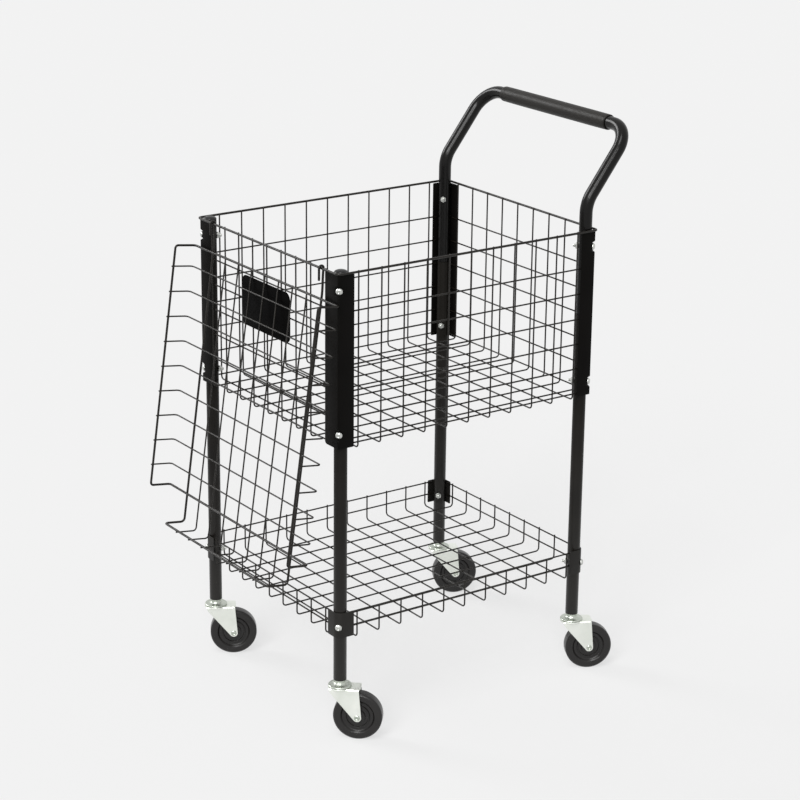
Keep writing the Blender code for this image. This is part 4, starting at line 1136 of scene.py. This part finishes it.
def build_axle(corner, matrix):
    """A rivet whose dished heads are rolled over the fork."""
    profile = soften(mirrored(raised(AXLE_HEAD, FORK_OUTER + FIT)))
    finish_turned(profile, BOLT_SIDES, False, "wheel_axle_" + corner, "rivet", ZINC_PAINTED_SHADE,
                  "zinc_steel", matrix)


def build_wheel(corner, matrix):
    """A moulded wheel: rounded tread edges, a stepped web and a raised hub on each face."""
    profile = soften(mirrored(raised(WHEEL_FACE, WHEEL_HALF_WIDTH)), steps=3, closed=True)
    finish_turned(profile, WHEEL_SIDES, True, "wheel_" + corner, "moulding", RUBBER, "wheel_rubber",
                  matrix)


def build_caster(corner):
    axle = Vector(JOINTS["wheel_spin_" + corner]["pos_m"])
    axis = LEG_AXES[corner]
    away = Vector((axle.x - axis.x, axle.y - axis.y))
    pivot = leg_matrix(corner) @ Matrix.Rotation(atan2(away.y, away.x), 4, "Z")
    spin = pivot @ Matrix.Translation((away.length, 0, WHEEL_RADIUS)) @ Matrix.Rotation(pi / 2, 4, "X")
    build_neck(corner)
    build_race(corner, pivot)
    build_fork(corner, away.length, pivot)
    build_axle(corner, spin)
    build_wheel(corner, spin)


def build_corner(corner):
    build_leg(corner)
    if corner.startswith("front"):
        build_cap(corner)
    build_corner_plate("corner_plate_" + corner, corner)
    build_bracket("shelf_bracket_" + corner, corner)
    for kind in ("upper_basket", "lower_basket", "shelf"):
        build_bolt(f"{kind}_bolt_{corner}", corner)
    build_caster(corner)


# Floor, lights and camera


def grey(level):
    return (level, level, level, 1)


def seen_directly(owner):
    """1 where the eye, a reflection or a see-through surface looks, 0 for light on the cart."""
    path = add_node(owner, "ShaderNodeLightPath")
    total = path.outputs["Is Camera Ray"]
    for name in ("Is Glossy Ray", "Is Transmission Ray"):
        most = add_node(owner, "ShaderNodeMath")
        most.operation = "MAXIMUM"
        owner.node_tree.links.new(total, most.inputs[0])
        owner.node_tree.links.new(path.outputs[name], most.inputs[1])
        total = most.outputs[0]
    return total


def mix_shaders(material, share, first, second):
    """The mix of two nodes' shaders; the share of the second is a number or an output."""
    mix = add_node(material, "ShaderNodeMixShader", Fac=share)
    material.node_tree.links.new(first.outputs[0], mix.inputs[1])
    material.node_tree.links.new(second.outputs[0], mix.inputs[2])
    return mix


def build_floor():
    """A wide pale floor that keeps a soft shadow of the cart."""
    mesh = bpy.data.meshes.new("floor")
    corners = ((-1, -1), (1, -1), (1, 1), (-1, 1))
    mesh.from_pydata([(x * FLOOR_REACH, y * FLOOR_REACH, 0) for x, y in corners], [], [(0, 1, 2, 3)])
    floor = bpy.data.objects.new("floor", mesh)
    bpy.context.scene.collection.objects.link(floor)
    material = bpy.data.materials.new("pale_floor")
    material.use_nodes = True
    material.node_tree.nodes.clear()
    lit = add_node(material, "ShaderNodeBsdfDiffuse", Color=grey(FLOOR_COLOUR))
    plain = add_node(material, "ShaderNodeEmission", Color=grey(BACKGROUND_COLOUR), Strength=1.0)
    soft = mix_shaders(material, FLOOR_SHADOW_SHARE, plain, lit)
    seen = mix_shaders(material, seen_directly(material), lit, soft)
    add_node(material, "ShaderNodeOutputMaterial", Surface=seen.outputs[0])
    mesh.materials.append(material)


def build_world():
    """A world that looks pale and lights the cart less than it looks."""
    world = bpy.data.worlds.new("pale_studio")
    world.use_nodes = True
    bpy.context.scene.world = world
    colour = mix_colours(world, seen_directly(world), grey(WORLD_LIGHT), grey(BACKGROUND_COLOUR))
    world.node_tree.links.new(colour, world.node_tree.nodes["Background"].inputs["Color"])


def add_sun(name, azimuth, elevation, angle, strength):
    """A light from a compass angle about Z, as seen from the cart, and a height."""
    light = bpy.data.lights.new(name, "SUN")
    light.energy = strength
    light.angle = radians(angle)
    lamp = bpy.data.objects.new(name, light)
    bpy.context.scene.collection.objects.link(lamp)
    ahead = Matrix.Rotation(radians(azimuth), 3, "Z") @ Matrix.Rotation(-radians(elevation), 3, "Y")
    lamp.rotation_euler = (ahead @ Vector((1, 0, 0))).to_track_quat("Z", "Y").to_euler()


def build_camera():
    """The photograph's view, placed from the middle of the legs."""
    yaw, pitch, roll = CAMERA_TURNS
    ahead = Vector((-sin(yaw) * cos(pitch), cos(yaw) * cos(pitch), -sin(pitch)))
    right = Vector((cos(yaw), sin(yaw), 0))
    up = right.cross(ahead)
    right, up = cos(roll) * right + sin(roll) * up, cos(roll) * up - sin(roll) * right
    data = bpy.data.cameras.new("camera")
    data.sensor_width = CAMERA_SENSOR
    data.lens = CAMERA_LENS
    camera = bpy.data.objects.new("camera", data)
    bpy.context.scene.collection.objects.link(camera)
    turn = Matrix((right, up, -ahead)).transposed().to_4x4()
    camera.matrix_world = Matrix.Translation(CENTRE + Vector(CAMERA_PLACE)) @ turn
    bpy.context.scene.camera = camera


build_basket()
build_shelf()
for corner_name in CORNERS:
    build_corner(corner_name)
build_handle()
build_grip()
build_sign()
build_lid()
build_floor()
build_world()
for sun in SUNS:
    add_sun(*sun)
build_camera()
bpy.context.scene.view_settings.view_transform = "Standard"
